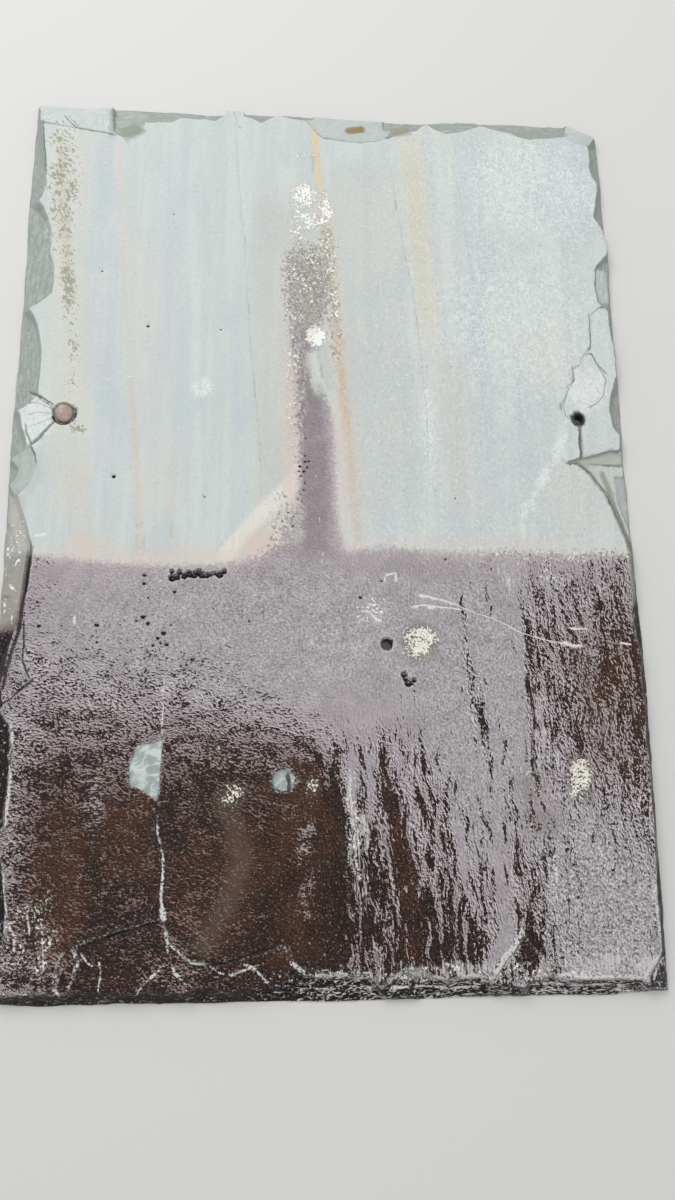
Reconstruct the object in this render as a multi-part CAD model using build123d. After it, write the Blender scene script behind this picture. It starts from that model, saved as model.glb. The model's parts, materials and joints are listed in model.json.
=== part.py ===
from build123d import *
import math
import os

# Slate roof tile: split from the bed, trimmed by hand, and taken off an old roof with one nail left in it.
# Millimetres. It lies on its flat back with the weathered face up: +Z up, +Y to the head, -Y to the tail.
# The origin is the centre of the back face.

# The slate
length = 450.0
width = 305.0
thickness = 8.0

# Dressed edge: the knife leaves a narrow square land at the back and breaks the rest away as a bevel.
# Below each arris a short wall slants outwards, and a flake that ran right through leaves this much land.
edge_land = 0.8
edge_run = 3.0
wall_slant = 0.8
land_left = 1.0
overrun = 5.0

# Nail holes, punched from the back, so that the face bursts in a shallow crater round each
nail_row_from_tail = 271.5
nail_row_skew = 1.0
nail_inset_left = 25.5
nail_inset_right = 24.5
nail_hole_radius = 2.5
crater_radius = 3.7
crater_depth = 1.8

# Third hole, punched later to hold a slipped slate
third_hole_radius = 2.6
third_hole_x = 28.0
third_hole_from_tail = 156.5
third_crater_radius = 3.3
third_crater_depth = 1.2

# Copper clout nail, its shank broken off inside the slate
nail_head_radius = 4.9
nail_head_thickness = 1.3
nail_head_dome = 0.25
nail_shank_radius = 1.65
nail_stub_above_back = 0.6
nail_head_clearance = 0.25
nail_head_sunk = 0.3
socket_flare = 0.5
socket_shift = 1.0

# Cleavage steps, where a thin leaf of stone has split away
leaf_depth = 0.9
thin_leaf_depth = 0.6

# Pits and chips in the face
pit_depth = 1.6
slot_length = 27.0
slot_pit_radius = 1.9
slot_x = -60.5
slot_from_tail = 189.6
pit_x = 38.0
pit_from_tail = 140.3
pit_radius = 2.0
shell_chip_x = -20.0
shell_chip_from_tail = 94.0
shell_chip_radius = 5.6
shell_chip_depth = 1.5
flat_chip_right_x = -74.5
flat_chip_from_tail = 99.0

half_width = width / 2
half_length = length / 2
tail_y = -half_length
through = thickness - land_left

# Pits that have run together: shares of the slot's length and of the pit radius, then size
slot_pits = [(-0.43, -1.0, 1.0), (-0.44, 0.7, 0.6), (-0.35, -0.8, 0.85), (-0.31, 0.5, 0.75),
             (-0.23, -0.6, 0.85), (-0.14, 0.0, 1.05), (-0.06, -0.3, 0.9), (0.02, 0.5, 0.9), (0.07, -0.3, 0.9),
             (0.15, -0.3, 0.85), (0.22, 0.0, 0.7), (0.3, 0.3, 0.6), (0.38, -0.1, 0.95), (0.46, 0.7, 0.75)]
ragged_pits = [(-1.2, 1.0, 0.85), (-0.8, 0.0, 0.75), (-0.2, -1.0, 0.95), (0.7, -1.1, 0.5), (1.2, -0.4, 0.6)]

# Each side: where it starts, the way it runs, the way into the slate, and its span
sides = {
    "head": ((-half_width, half_length), (1, 0), (0, -1), width),
    "right": ((half_width, half_length), (0, -1), (-1, 0), length),
    "tail": ((half_width, -half_length), (-1, 0), (0, 1), width),
    "left": ((-half_width, -half_length), (0, 1), (1, 0), length),
}

# Knife strokes meet at slight angles: share of the side, and how far inside the full size the stroke ends
strokes = {
    "head": [(0.005, 0.5), (0.08, 1.6), (0.145, 0.0), (0.25, 0.5), (0.3, 1.8), (0.335, 0.3), (0.46, 0.0),
             (0.5, 1.5), (0.6, 2.2), (0.68, 1.8), (0.8, 0.4), (0.94, 0.3)],
    "right": [(0.02, 2.4), (0.093, 1.5), (0.145, 1.9), (0.176, 0.5), (0.238, 1.5), (0.36, 1.0), (0.433, 2.2),
              (0.51, 1.5), (0.6, 0.6), (0.71, 0.0), (0.8, 1.1), (0.94, 1.5)],
    "tail": [(0.006, 1.9), (0.11, 0.5), (0.22, 0.9), (0.47, 0.0), (0.7, 0.5), (0.9, 0.2)],
    "left": [(0.004, 1.2), (0.06, 0.9), (0.23, 0.1), (0.43, 0.8), (0.59, 0.0), (0.72, 1.1), (0.86, 0.3)],
}

# Flake scars of the dressing, side by side. Each has its arris on the face, as places along the side from its
# middle with the reach into the face, then the depth just inside the arris and the depth at the side, and the
# depth gained per millimetre along the side where the scar leans.
flakes = {
    "head": [
        ([(-153, 12), (-145, 15.5), (-130, 17.5), (-115, 20), (-107, 21), (-104, 16), (-97, 8)], 1.0, 3.4),
        ([(-111, 11), (-110, 19), (-105, 22.5), (-100, 21.5), (-96, 18), (-94, 13), (-92, 9)],
         1.5, through, -0.05),
        ([(-99, 9), (-93, 13), (-80, 12), (-76, 9.5), (-62, 9.5), (-57, 10), (-52, 6)], 0.6, through),
        ([(-42, 6.5), (-36, 9), (-33, 10.5), (-29, 8), (-25, 6)], 0.6, through, 0.06),
        ([(-26, 5.5), (-15, 7.5), (-9, 8), (-5, 6)], 0.4, through),
        ([(-9, 8), (-5, 14), (0, 18), (8, 18.5), (12, 20), (20, 20.5), (30, 19), (36, 15), (37, 9)],
         1.0, 4.2, 0.03),
        ([(33, 12), (34, 17.5), (38, 15.5), (45, 13), (50, 12), (55, 7)], 1.1, through, 0.04),
        ([(55, 6.5), (61, 11), (66, 13), (72, 12), (80, 9.5), (86, 6.5)], 0.8, 5.2, -0.03),
        ([(84, 6.5), (92, 9), (100, 11), (105, 8)], 0.5, through),
        ([(99, 9), (105, 13), (112, 14.5), (122, 13.5), (131, 12), (133, 7)], 0.9, through, 0.02),
        ([(130, 7), (132, 13), (136, 15.5), (143, 17), (152, 17)], 0.9, 3.6),
    ],
    "right": [
        ([(214, 6), (208, 9.5), (200, 8.5), (195, 9.5), (188, 8), (184, 5.5)], 0.8, through, 0.03),
        ([(186, 5.5), (180, 6), (170, 8), (163, 9), (156, 4.5), (150, 3.5)], 0.8, through, -0.03),
        ([(141, 4), (136, 8.5), (132, 10.5), (122, 11), (112, 9.5), (107, 5)], 0.5, 4.2),
        ([(123, 4), (112, 6), (100, 5.5), (88, 4.5)], 1.9, through),
        ([(71, 5), (60, 8.5), (52, 9.5), (44, 8.5), (38, 5)], 1.6, through, -0.03),
        ([(34, 4), (31, 7), (30, 14), (26.5, 23), (24, 32), (22.5, 24), (21, 16), (19, 7)], 1.2, 4.0, -0.04),
        ([(24, 28), (20, 22.5), (13, 18.5), (8, 14.5), (0, 11.5), (-8, 8.5), (-16, 5.5), (-23, 3.5)],
         1.5, 5.0),
        ([(18, 14.5), (10, 12), (0, 9.5), (-10, 6.5), (-16, 4)], 2.6, 5.8),
        ([(41, 5), (30, 6.5), (15, 7), (0, 5.5), (-10, 4)], 2.4, through),
        ([(-18, 3.5), (-30, 5), (-42, 4.5), (-52, 6.5), (-65, 5.5), (-74, 3.5)], 1.0, through, 0.02),
        ([(-73, 3.5), (-85, 4.5), (-100, 3.5), (-112, 5), (-126, 4), (-145, 4.8), (-166, 4.2)], 0.7, through),
        ([(-164, 4.5), (-178, 6), (-192, 5.3), (-205, 6), (-210, 4)], 0.8, through, -0.03),
        ([(-203, 4), (-212, 9.5), (-217, 12.5), (-221, 11.5), (-226, 9)], 1.2, 4.5),
    ],
    "tail": [
        ([(150, 4), (140, 5.5), (137, 7), (125, 8), (105, 7.5), (95, 9.5), (87, 8), (84, 4)], 1.0, through),
        ([(88, 4.5), (80, 6), (72, 6.5), (66, 4.5)], 0.8, through),
        ([(72, 4), (67, 10), (60, 9.5), (50, 8.5), (42, 11), (38, 6)], 0.8, through, -0.04),
        ([(44, 7), (39, 13), (32, 12.5), (27, 10.5), (22, 5)], 1.1, 4.6, 0.05),
        ([(25, 4), (17, 11.5), (8, 11), (-2, 11.5), (-10, 11), (-16, 14), (-20, 9), (-22, 4)], 1.2, through),
        ([(-18, 5), (-26, 9), (-34, 7), (-44, 6), (-56, 7.5), (-63, 4.5)], 1.0, through, 0.03),
        ([(-60, 4.5), (-74, 6.5), (-88, 5), (-104, 6.5), (-114, 4.5)], 0.8, through),
        ([(-111, 4.5), (-124, 6.5), (-137, 5.5), (-150, 8)], 0.8, through, 0.02),
    ],
    "left": [
        ([(227, 5.5), (212, 5.5), (195, 7.5), (180, 9.5), (172, 10), (166, 8), (160, 5)], 0.7, through),
        ([(166, 4), (159, 9.5), (153, 12), (147, 14), (133, 14.5), (126, 16.5), (118, 17), (110, 16),
          (105, 11), (101, 5)], 0.9, 6.0, 0.02),
        ([(151, 4), (145, 8), (138, 10.5), (130, 10), (123, 4)], 3.5, through),
        ([(102, 5), (96, 9), (92, 10.5), (83, 12.5), (72, 13.5), (63, 13), (54, 12.5), (49, 8), (46, 3)],
         0.8, through, -0.02),
        ([(97, 3), (85, 6), (72, 7.5), (60, 6.5), (53, 3)], 4.6, through),
        ([(58, 6), (54.5, 12), (49, 20), (41, 21.5), (34, 15.5), (29, 11.5), (24.5, 8), (21, 4)], 0.4, 2.4),
        ([(50, 3), (44, 6.5), (38, 7.5), (32, 9.5), (27, 10), (22, 4)], 2.2, through, -0.04),
        ([(30, 10), (24, 13.5), (18, 14.5), (13, 13.5), (8, 11.5), (3, 7), (-1, 3)], 0.5, 3.6),
        ([(23, 3), (17, 8), (12, 6.5), (7, 3)], 2.4, through),
        ([(12, 3), (3, 7), (-5, 9.5), (-15, 12.5), (-24, 15), (-32, 15.5), (-42, 14.5), (-50, 12.5),
          (-60, 5)],
         1.0, 5.0, 0.02),
        ([(-4, 3), (-14, 8), (-26, 10), (-40, 7), (-48, 3)], 3.0, through),
        ([(-46, 10), (-58, 11), (-70, 8.5), (-80, 7), (-88, 5.5), (-98, 7), (-103, 4)], 1.2, through, -0.02),
        ([(-99, 5), (-106, 10.5), (-120, 12), (-136, 11.5), (-150, 11), (-158, 5)], 0.8, through),
        ([(-154, 6), (-165, 11), (-178, 13.5), (-188, 14.5), (-198, 14), (-206, 11), (-214, 6)],
         0.8, 6.4, 0.02),
        ([(-206, 4), (-214, 7), (-222, 8), (-227, 8)], 0.9, through),
    ],
}

nail_row = tail_y + nail_row_from_tail
left_hole = (-half_width + nail_inset_left, nail_row - nail_row_skew)
right_hole = (half_width - nail_inset_right, nail_row + nail_row_skew)
third_hole = (third_hole_x, tail_y + third_hole_from_tail)

socket_depth = nail_head_sunk + nail_head_thickness
socket_floor = thickness - socket_depth
socket_radius = nail_head_radius + nail_head_clearance


def on_side(name, share, inset):
    """Point at a share of a side's run, inset from the full size."""
    (start_x, start_y), (run_x, run_y), (in_x, in_y), span = sides[name]
    along = share * span
    return (start_x + run_x * along + in_x * inset, start_y + run_y * along + in_y * inset)


def from_side(name, along, reach):
    """Point by its place along a side, from the middle towards +X or +Y, and its reach into the face."""
    _, (run_x, run_y), (in_x, in_y), _ = sides[name]
    x = abs(run_x) * along + in_x * (reach - half_width)
    y = abs(run_y) * along + in_y * (reach - half_length)
    return (x, y)


def blank():
    """The trimmed plate: a square land at the back, then the bevel that the knife leaves."""
    corners = [on_side(name, share, inset) for name in sides for share, inset in strokes[name]]
    plan = make_face(Polyline(*reversed(corners), close=True))
    bevel_height = thickness - edge_land
    slope = math.degrees(math.atan2(edge_run, bevel_height))
    land = extrude(plan, amount=edge_land)
    return land + extrude(Pos(0, 0, edge_land) * plan, amount=bevel_height, taper=slope)


def flake(name, arris, inner_depth, side_depth, lean=0.0):
    """Cut that leaves one flake scar: a slanting wall below the arris, then a plane that falls outwards."""
    most_reach = max(reach for _, reach in arris)
    fall = (side_depth - inner_depth) / most_reach
    slant = min(wall_slant, 0.5 / fall)
    middle = (arris[0][0] + arris[-1][0]) / 2
    floor = []
    for along, reach in [(arris[0][0], -overrun), *arris, (arris[-1][0], -overrun)]:
        depth_at_side = side_depth + lean * (along - middle)
        floor_reach = (reach - slant * depth_at_side) / (1 - slant * fall)
        depth = depth_at_side - fall * floor_reach
        x, y = from_side(name, along, floor_reach)
        floor.append((x, y, thickness - depth))
    in_x, in_y = sides[name][2]
    plan = make_face(Polyline(*floor, close=True))
    return extrude(plan, amount=3 * thickness, dir=(in_x * slant, in_y * slant, 1))


def leaf(points, depth):
    """Flat-floored recess where a leaf of stone split away inside this outline."""
    plan = make_face(Polyline(*points, close=True))
    return extrude(Pos(0, 0, thickness - depth) * plan, amount=depth + overrun)


def dish(x, y, radius, depth):
    """Ball that leaves a round dish of this radius and depth in the face."""
    ball_radius = (radius**2 + depth**2) / (2 * depth)
    return Pos(x, y, thickness - depth + ball_radius) * Sphere(ball_radius)


def punched_hole(place, radius, mouth_radius, mouth_depth):
    """Hole punched from the back, with the burst crater at the face."""
    x, y = place
    bore = Pos(x, y, thickness / 2) * Cylinder(radius, thickness + 2 * overrun)
    crater = Pos(x, y, thickness - mouth_depth / 2) * Cone(radius, mouth_radius, mouth_depth)
    return [bore, crater]


def nail_socket():
    """Hole and seat of the nail's head, burst wider towards the tail, with one bite to the right."""
    x, y = left_hole
    middle = socket_floor + socket_depth / 2
    bore = Pos(x, y, thickness / 2) * Cylinder(nail_hole_radius, thickness + 2 * overrun)
    seat = Pos(x, y, middle) * Cylinder(socket_radius, socket_depth)
    burst = Pos(x + 0.4 * socket_shift, y - socket_shift, middle) * Cone(
        socket_radius, socket_radius + socket_flare, socket_depth
    )
    bite_radius = socket_radius / 2
    bite_x = x + socket_radius - bite_radius + 1.6 * socket_shift
    bite = dish(bite_x, y - socket_shift, bite_radius, socket_depth)
    return [bore, seat, burst, bite]


def right_margin_leaf():
    """Step that runs from the right hole to the side, above and below it."""
    x, y = right_hole
    outside = half_width + overrun
    return leaf(
        [(outside, y + 63), (x + 15, y + 63), (x + 10, y + 59), (x + 8.5, y + 40), (x + 3, y + 34),
         (x + 2, y + 30), (x - 1.5, y + 28), (x - 1.5, y + 21), (x - 6, y + 17), (x - 6.5, y + 12),
         (x - 9, y + 8), (x - 9, y + 4), (x - 6, y - 1), (x - 1, y - 6),
         (x - 1, y - 21), (x - 7, y - 24), (x + 3, y - 30), (x + 11, y - 43), (x + 16, y - 60),
         (x + 20, y - 70), (outside, y - 73)],
        leaf_depth,
    )


def left_margin_leaf():
    """Pointed step low on the left side, where two cracks meet."""
    side = -half_width
    outside = side - overrun
    y = tail_y + 138
    return leaf(
        [(outside, y + 27), (side + 12.5, y + 27), (side + 14, y + 15), (side + 13.5, y + 7),
         (side + 18.5, y), (side + 11, y - 6), (side + 7, y - 10), (outside, y - 12)],
        leaf_depth,
    )


def tail_leaf():
    """Thin step along the tail, left of the middle."""
    y = tail_y
    return leaf(
        [(-118, y - overrun), (-113, y + 22), (-104, y + 25.5), (-90, y + 30), (-72, y + 35), (-68, y + 25),
         (-60, y + 18), (-50, y + 15.5), (-35, y + 19), (-20, y + 23), (-13, y + 14), (2, y + 11.5),
         (22, y + 6), (24, y - overrun)],
        thin_leaf_depth,
    )


def tail_ridge_leaf():
    """Short step behind the slanting ridge at the right of the tail."""
    y = tail_y
    return leaf(
        [(70, y - overrun), (70, y + 7), (78, y + 17), (85.5, y + 25.5), (92, y + 18), (97, y + 9),
         (98, y - overrun)],
        leaf_depth,
    )


def head_notch():
    """Narrow wedge broken out of the head."""
    y = half_length
    return leaf(
        [(-49, y + overrun), (-47.5, y - 6), (-44, y - 15), (-43, y - 6), (-41, y + overrun)],
        leaf_depth,
    )


def flat_chip():
    """Chip with one straight wall on its right, along a joint in the stone."""
    x = flat_chip_right_x
    y = tail_y + flat_chip_from_tail
    return leaf(
        [(x, y + 14), (x - 4, y + 12), (x - 11, y + 10.5), (x - 14, y + 2), (x - 13.5, y - 7),
         (x - 7, y - 9.5), (x - 1, y - 14)],
        leaf_depth,
    )


def slot_of_pits():
    """Row of pits that have grown into one slot."""
    y = tail_y + slot_from_tail
    return [
        dish(slot_x + slot_length * run, y + slot_pit_radius * rise, slot_pit_radius * size, pit_depth * size)
        for run, rise, size in slot_pits
    ]


def ragged_pit():
    """Pits run together below the third hole."""
    y = tail_y + pit_from_tail
    return [
        dish(pit_x + pit_radius * run, y + pit_radius * rise, pit_radius * size, pit_depth * size)
        for run, rise, size in ragged_pits
    ]


def make_slate():
    body = blank()
    for name in sides:
        body -= [flake(name, *sizes) for sizes in flakes[name]]
    body -= [right_margin_leaf(), left_margin_leaf(), tail_leaf(), tail_ridge_leaf(), head_notch()]
    body -= [flat_chip(), *slot_of_pits(), *ragged_pit()]
    body -= dish(shell_chip_x, tail_y + shell_chip_from_tail, shell_chip_radius, shell_chip_depth)
    body -= punched_hole(right_hole, nail_hole_radius, crater_radius, crater_depth)
    body -= punched_hole(third_hole, third_hole_radius, third_crater_radius, third_crater_depth)
    body -= nail_socket()
    return body


def make_nail():
    """Nail as turned: flat-bottomed domed head on a plain shank, broken off above the back."""
    x, y = left_hole
    head = Cylinder(nail_head_radius, nail_head_thickness, align=(Align.CENTER, Align.CENTER, Align.MIN))
    dome_radius = (nail_head_radius**2 + nail_head_dome**2) / (2 * nail_head_dome)
    head &= Pos(0, 0, nail_head_thickness - dome_radius) * Sphere(dome_radius)
    stub_length = socket_floor - nail_stub_above_back
    shank = Pos(0, 0, -stub_length / 2) * Cylinder(nail_shank_radius, stub_length)
    return Pos(x, y, socket_floor) * (head + shank)


os.makedirs("parts", exist_ok=True)
for node, shape in {"slate": make_slate(), "nail": make_nail()}.items():
    solid = shape.solid()
    solid.label = node
    export_step(solid, f"parts/{node}.step")
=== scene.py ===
import json
import math

import bpy
import numpy as np
from mathutils import Matrix, Vector, geometry, kdtree
from mathutils.bvhtree import BVHTree


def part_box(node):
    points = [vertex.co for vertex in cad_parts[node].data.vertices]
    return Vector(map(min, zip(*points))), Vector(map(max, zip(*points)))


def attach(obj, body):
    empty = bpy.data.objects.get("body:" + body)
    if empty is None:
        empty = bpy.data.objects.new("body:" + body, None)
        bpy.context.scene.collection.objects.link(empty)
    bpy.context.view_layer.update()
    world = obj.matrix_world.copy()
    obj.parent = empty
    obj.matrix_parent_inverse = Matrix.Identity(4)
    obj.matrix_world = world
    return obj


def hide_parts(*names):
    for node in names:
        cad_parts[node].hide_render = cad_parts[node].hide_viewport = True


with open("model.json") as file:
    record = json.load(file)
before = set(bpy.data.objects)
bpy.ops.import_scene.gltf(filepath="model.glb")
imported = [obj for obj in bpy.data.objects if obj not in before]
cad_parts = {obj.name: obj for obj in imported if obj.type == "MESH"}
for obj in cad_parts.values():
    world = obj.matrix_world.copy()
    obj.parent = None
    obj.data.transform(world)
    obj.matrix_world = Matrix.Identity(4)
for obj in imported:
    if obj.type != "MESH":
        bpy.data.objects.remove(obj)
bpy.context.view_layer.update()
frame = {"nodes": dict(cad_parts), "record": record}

bl_info = {
    "name": "Slate roof tile",
    "version": (1, 0, 0),
    "blender": (4, 5, 0),
    "location": "View3D > Sidebar > Slate",
    "description": "Builds a reclaimed roofing slate with dressed edges and one copper nail round its frame",
    "category": "Add Mesh",
}

MM = 0.001
slate_node = frame["nodes"]["slate"]
_, high = (np.array(corner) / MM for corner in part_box("slate"))
nail_low, nail_high = (np.array(corner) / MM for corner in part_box("nail"))
HALF_WIDTH = float(high[0])
HALF_LENGTH = float(high[1])
THICKNESS = float(high[2])
TAIL = -HALF_LENGTH
holes = {mount["name"]: Vector(mount["pos_m"][:2]) / MM for mount in frame["record"]["mounts"]}
RIGHT_HOLE = holes["nail_hole"]
THIRD_HOLE = holes["third_hole"]
NAIL = Vector((nail_low[:2] + nail_high[:2]) / 2)
NAIL_HEAD_RADIUS = float(nail_high[0] - nail_low[0]) / 2
NAIL_HEAD_THICKNESS = 1.3
NAIL_SHANK_RADIUS = 1.65

# Arrises are rounded over this reach, and the sides have rows of points at these shares of their height
ARRIS_ROUND = 0.3
WALL_LEVELS = (0.72, 0.42, 0.16)

# Sines of the slopes at which the frame's face starts to be, and fully is, a flake scar, and then a wall
SCAR_SLOPES = (0.06, 0.3)
WALL_SLOPES = (0.42, 0.66)

# Widths of the relief in mm: cleavage waves and swells, ripples of the rain, breaks and leaves of the scars,
# laminae of the sides, teeth of the arrises, and hollows of the bed face
WAVE_SIZE, SWELL_SIZE, RIPPLE_SIZE = 95, 24, 6
BREAK_SIZE, LEAF_SIZE, LAMINA_SIZE, TOOTH_SIZE, HOLLOW_SIZE = 7, 9, 4, 11, 40

# Depths in mm of the cracks, of the fan that burst round the nail and of the bed's hollows, and how deep a
# pit is as a share of its radius
CRACK_DEPTH = 0.28
FAN_DEPTH = 0.28
HOLLOW_DEPTH = 0.25
PIT_DEPTH_SHARE = 0.45

# Edges of the frame that turn by more degrees than the first are arrises, and edges of the mesh that turn by
# more than the second stay sharp
ARRIS_TURN = 9
SHARP_TURN = 40

# The frame's faces whose normals have a z below the first lie on the bed, and those above the second look up.
# A sharp edge within this depth is an arris of the face
ON_BED = -0.99
LOOKS_UP = 0.1
ARRIS_DEPTH = 0.05

# The rays that measure the frame start here, and one that lands lower than this has missed. At the outline
# they keep this far inside the stone, and measure its slope over this reach
RAY_START = THICKNESS + 10
RAY_MISSED = 0.05
RIM_INSET = 0.1
RIM_REACH = 0.05

# A line is cut into legs of about this length, and its points stray up to this far, in swings of this size
STRAY_LEG = 1.6
STRAY_REACH = 0.55
STRAY_SIZE = 5

# Between these places across the slate the ripples of the left turn into the runs of the right
TO_RUNS = (-35, 30)

# How far the grid's points keep from the rows along cracks, as a share of the arris step, and how far all
# points keep from the outline, in mm, on the face and on the bed
CLEAR_OF_ROWS = 0.6
CLEAR_OF_OUTLINE = 0.3
BED_CLEAR_OF_OUTLINE = 1.2

NAIL_SIDES = 72

# The stage, in metres
FLOOR_REACH = 3.0
FLOOR_DROP = 0.02 * MM
LAMP_SIZE = 0.7
CLIP_START = 0.01


class SlateSettings(bpy.types.PropertyGroup):
    """Mesh and relief of the slate, in millimetres"""

    margin: bpy.props.FloatProperty(
        name="Margin", description="Width of the dressed margin that gets the close mesh, in mm",
        default=23.0, min=5.0)
    close_step: bpy.props.FloatProperty(
        name="Close step", description="Spacing of the mesh in the margin, in mm", default=0.85, min=0.5)
    open_step: bpy.props.FloatProperty(
        name="Open step", description="Spacing of the mesh on the open face, in mm", default=2.0, min=1.0)
    back_step: bpy.props.FloatProperty(
        name="Back step", description="Spacing of the mesh on the bed face, in mm", default=5.0, min=2.0)
    arris_step: bpy.props.FloatProperty(
        name="Arris step", description="Spacing of the points along arrises and cracks, in mm",
        default=0.8, min=0.3)
    riven_depth: bpy.props.FloatProperty(
        name="Riven depth", description="Deepest fall of the riven face below its highest points, in mm",
        default=0.35, min=0.0)
    ripple_depth: bpy.props.FloatProperty(
        name="Ripple depth", description="Depth of the ripples below the weather line, in mm",
        default=0.18, min=0.0)
    break_depth: bpy.props.FloatProperty(
        name="Break depth", description="Roughness of the flake scars, in mm", default=0.35, min=0.0)
    leaf_step: bpy.props.FloatProperty(
        name="Leaf step", description="Thickness of the leaves that end in the flake scars, in mm",
        default=0.95, min=0.1)
    lamina_depth: bpy.props.FloatProperty(
        name="Lamina depth", description="How far the laminae of the sides step in and out, in mm",
        default=0.22, min=0.0)
    ragged: bpy.props.FloatProperty(
        name="Ragged", description="How far the arrises wander from the knife's line, in mm",
        default=0.5, min=0.0)
    seed: bpy.props.IntProperty(name="Seed", description="Seed of the jitter and the relief", default=7)


class NailSettings(bpy.types.PropertyGroup):
    """The copper nail's looks"""

    colour: bpy.props.StringProperty(
        name="Colour", description="Weathered copper, sRGB hex", default="A8978C")
    dent_depth: bpy.props.FloatProperty(
        name="Dents", description="Depth of the hammer marks, in mm", default=0.12, min=0.0)


class StageSettings(bpy.types.PropertyGroup):
    """Floor, light and camera"""

    floor_colour: bpy.props.StringProperty(
        name="Floor", description="Floor colour, sRGB hex", default="E4E4E2")
    sky_strength: bpy.props.FloatProperty(name="Sky", description="Strength of the even light", default=0.62)
    lamp_power: bpy.props.FloatProperty(
        name="Lamp", description="Power of the large lamp over the head", default=7.0, unit="POWER")
    lamp_place: bpy.props.FloatVectorProperty(
        name="Lamp place", description="Where the lamp hangs", default=(-0.45, 0.75, 1.0),
        subtype="TRANSLATION", unit="LENGTH")
    camera_place: bpy.props.FloatVectorProperty(
        name="Camera place", description="Where the camera stands", default=(-0.0273, -0.1701, 0.4736),
        subtype="TRANSLATION", unit="LENGTH")
    camera_turn: bpy.props.FloatVectorProperty(
        name="Camera turn", description="Rotation of the camera", subtype="EULER",
        default=(math.radians(14.74), math.radians(-3.82), math.radians(-0.59)))
    focal_share: bpy.props.FloatProperty(
        name="Focal share", description="Focal length as a share of the frame's long side",
        default=1028.2 / 1200)


# Numbers and fields

def value_noise(points, size, seed):
    """Smooth noise from -1 to 1 on any points, with features of about this size in mm."""
    grid = points / size
    cell = np.floor(grid).astype(np.int64)
    local = grid - cell
    local = local * local * (3 - 2 * local)

    def corner(dx, dy):
        n = (cell[:, 0] + dx) * 374761393 + (cell[:, 1] + dy) * 668265263 + seed * 1274126177
        n = (n ^ (n >> 13)) * 1103515245
        n = n ^ (n >> 16)
        return (n & 0xFFFF) / 32767.5 - 1

    bottom = corner(0, 0) * (1 - local[:, 0]) + corner(1, 0) * local[:, 0]
    top = corner(0, 1) * (1 - local[:, 0]) + corner(1, 1) * local[:, 0]
    return bottom * (1 - local[:, 1]) + top * local[:, 1]


def fractal(points, size, seed, octaves=4, fall=0.5, stretch=(1.0, 1.0)):
    """Sum of noises, each half as large in size and fall as strong as the one before.

    Each use has a seed of its own: the slate's plus a number in its relief, and only a number elsewhere.
    """
    turned = points * np.array(stretch)
    total = np.zeros(len(points))
    weight = 0.0
    for n in range(octaves):
        angle = 0.7 * n
        turn = np.array([[math.cos(angle), -math.sin(angle)], [math.sin(angle), math.cos(angle)]])
        total += fall**n * value_noise(turned @ turn, size / 2**n, seed + 17 * n)
        weight += fall**n
    return total / weight


def unit_fractal(*noise, **more):
    """The same sum, from 0 to 1."""
    return 0.5 + 0.5 * fractal(*noise, **more)


def smooth(low_edge, high_edge, value):
    """How far a value is from the low edge to the high one, from 0 to 1, with soft ends."""
    share = np.clip((value - low_edge) / (high_edge - low_edge), 0, 1)
    return share * share * (3 - 2 * share)


def along(points, path):
    """For each point, its distance from a path, signed by side, and how far along it is, from 0 to 1."""
    path = np.array(path, float)
    legs = np.diff(path, axis=0)
    lengths = np.linalg.norm(legs, axis=1)
    starts = np.concatenate([[0], np.cumsum(lengths)])
    best = np.full(len(points), 1e9)
    signed = np.zeros(len(points))
    share = np.zeros(len(points))
    for start, leg, length, before in zip(path, legs, lengths, starts):
        offset = points - start
        t = np.clip(offset @ leg / length**2, 0, 1)
        away = offset - t[:, None] * leg
        distance = np.linalg.norm(away, axis=1)
        side = np.sign(leg[0] * offset[:, 1] - leg[1] * offset[:, 0])
        nearer = distance < best
        best[nearer] = distance[nearer]
        signed[nearer] = (distance * side)[nearer]
        share[nearer] = ((before + t * length) / starts[-1])[nearer]
    return signed, share
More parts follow.
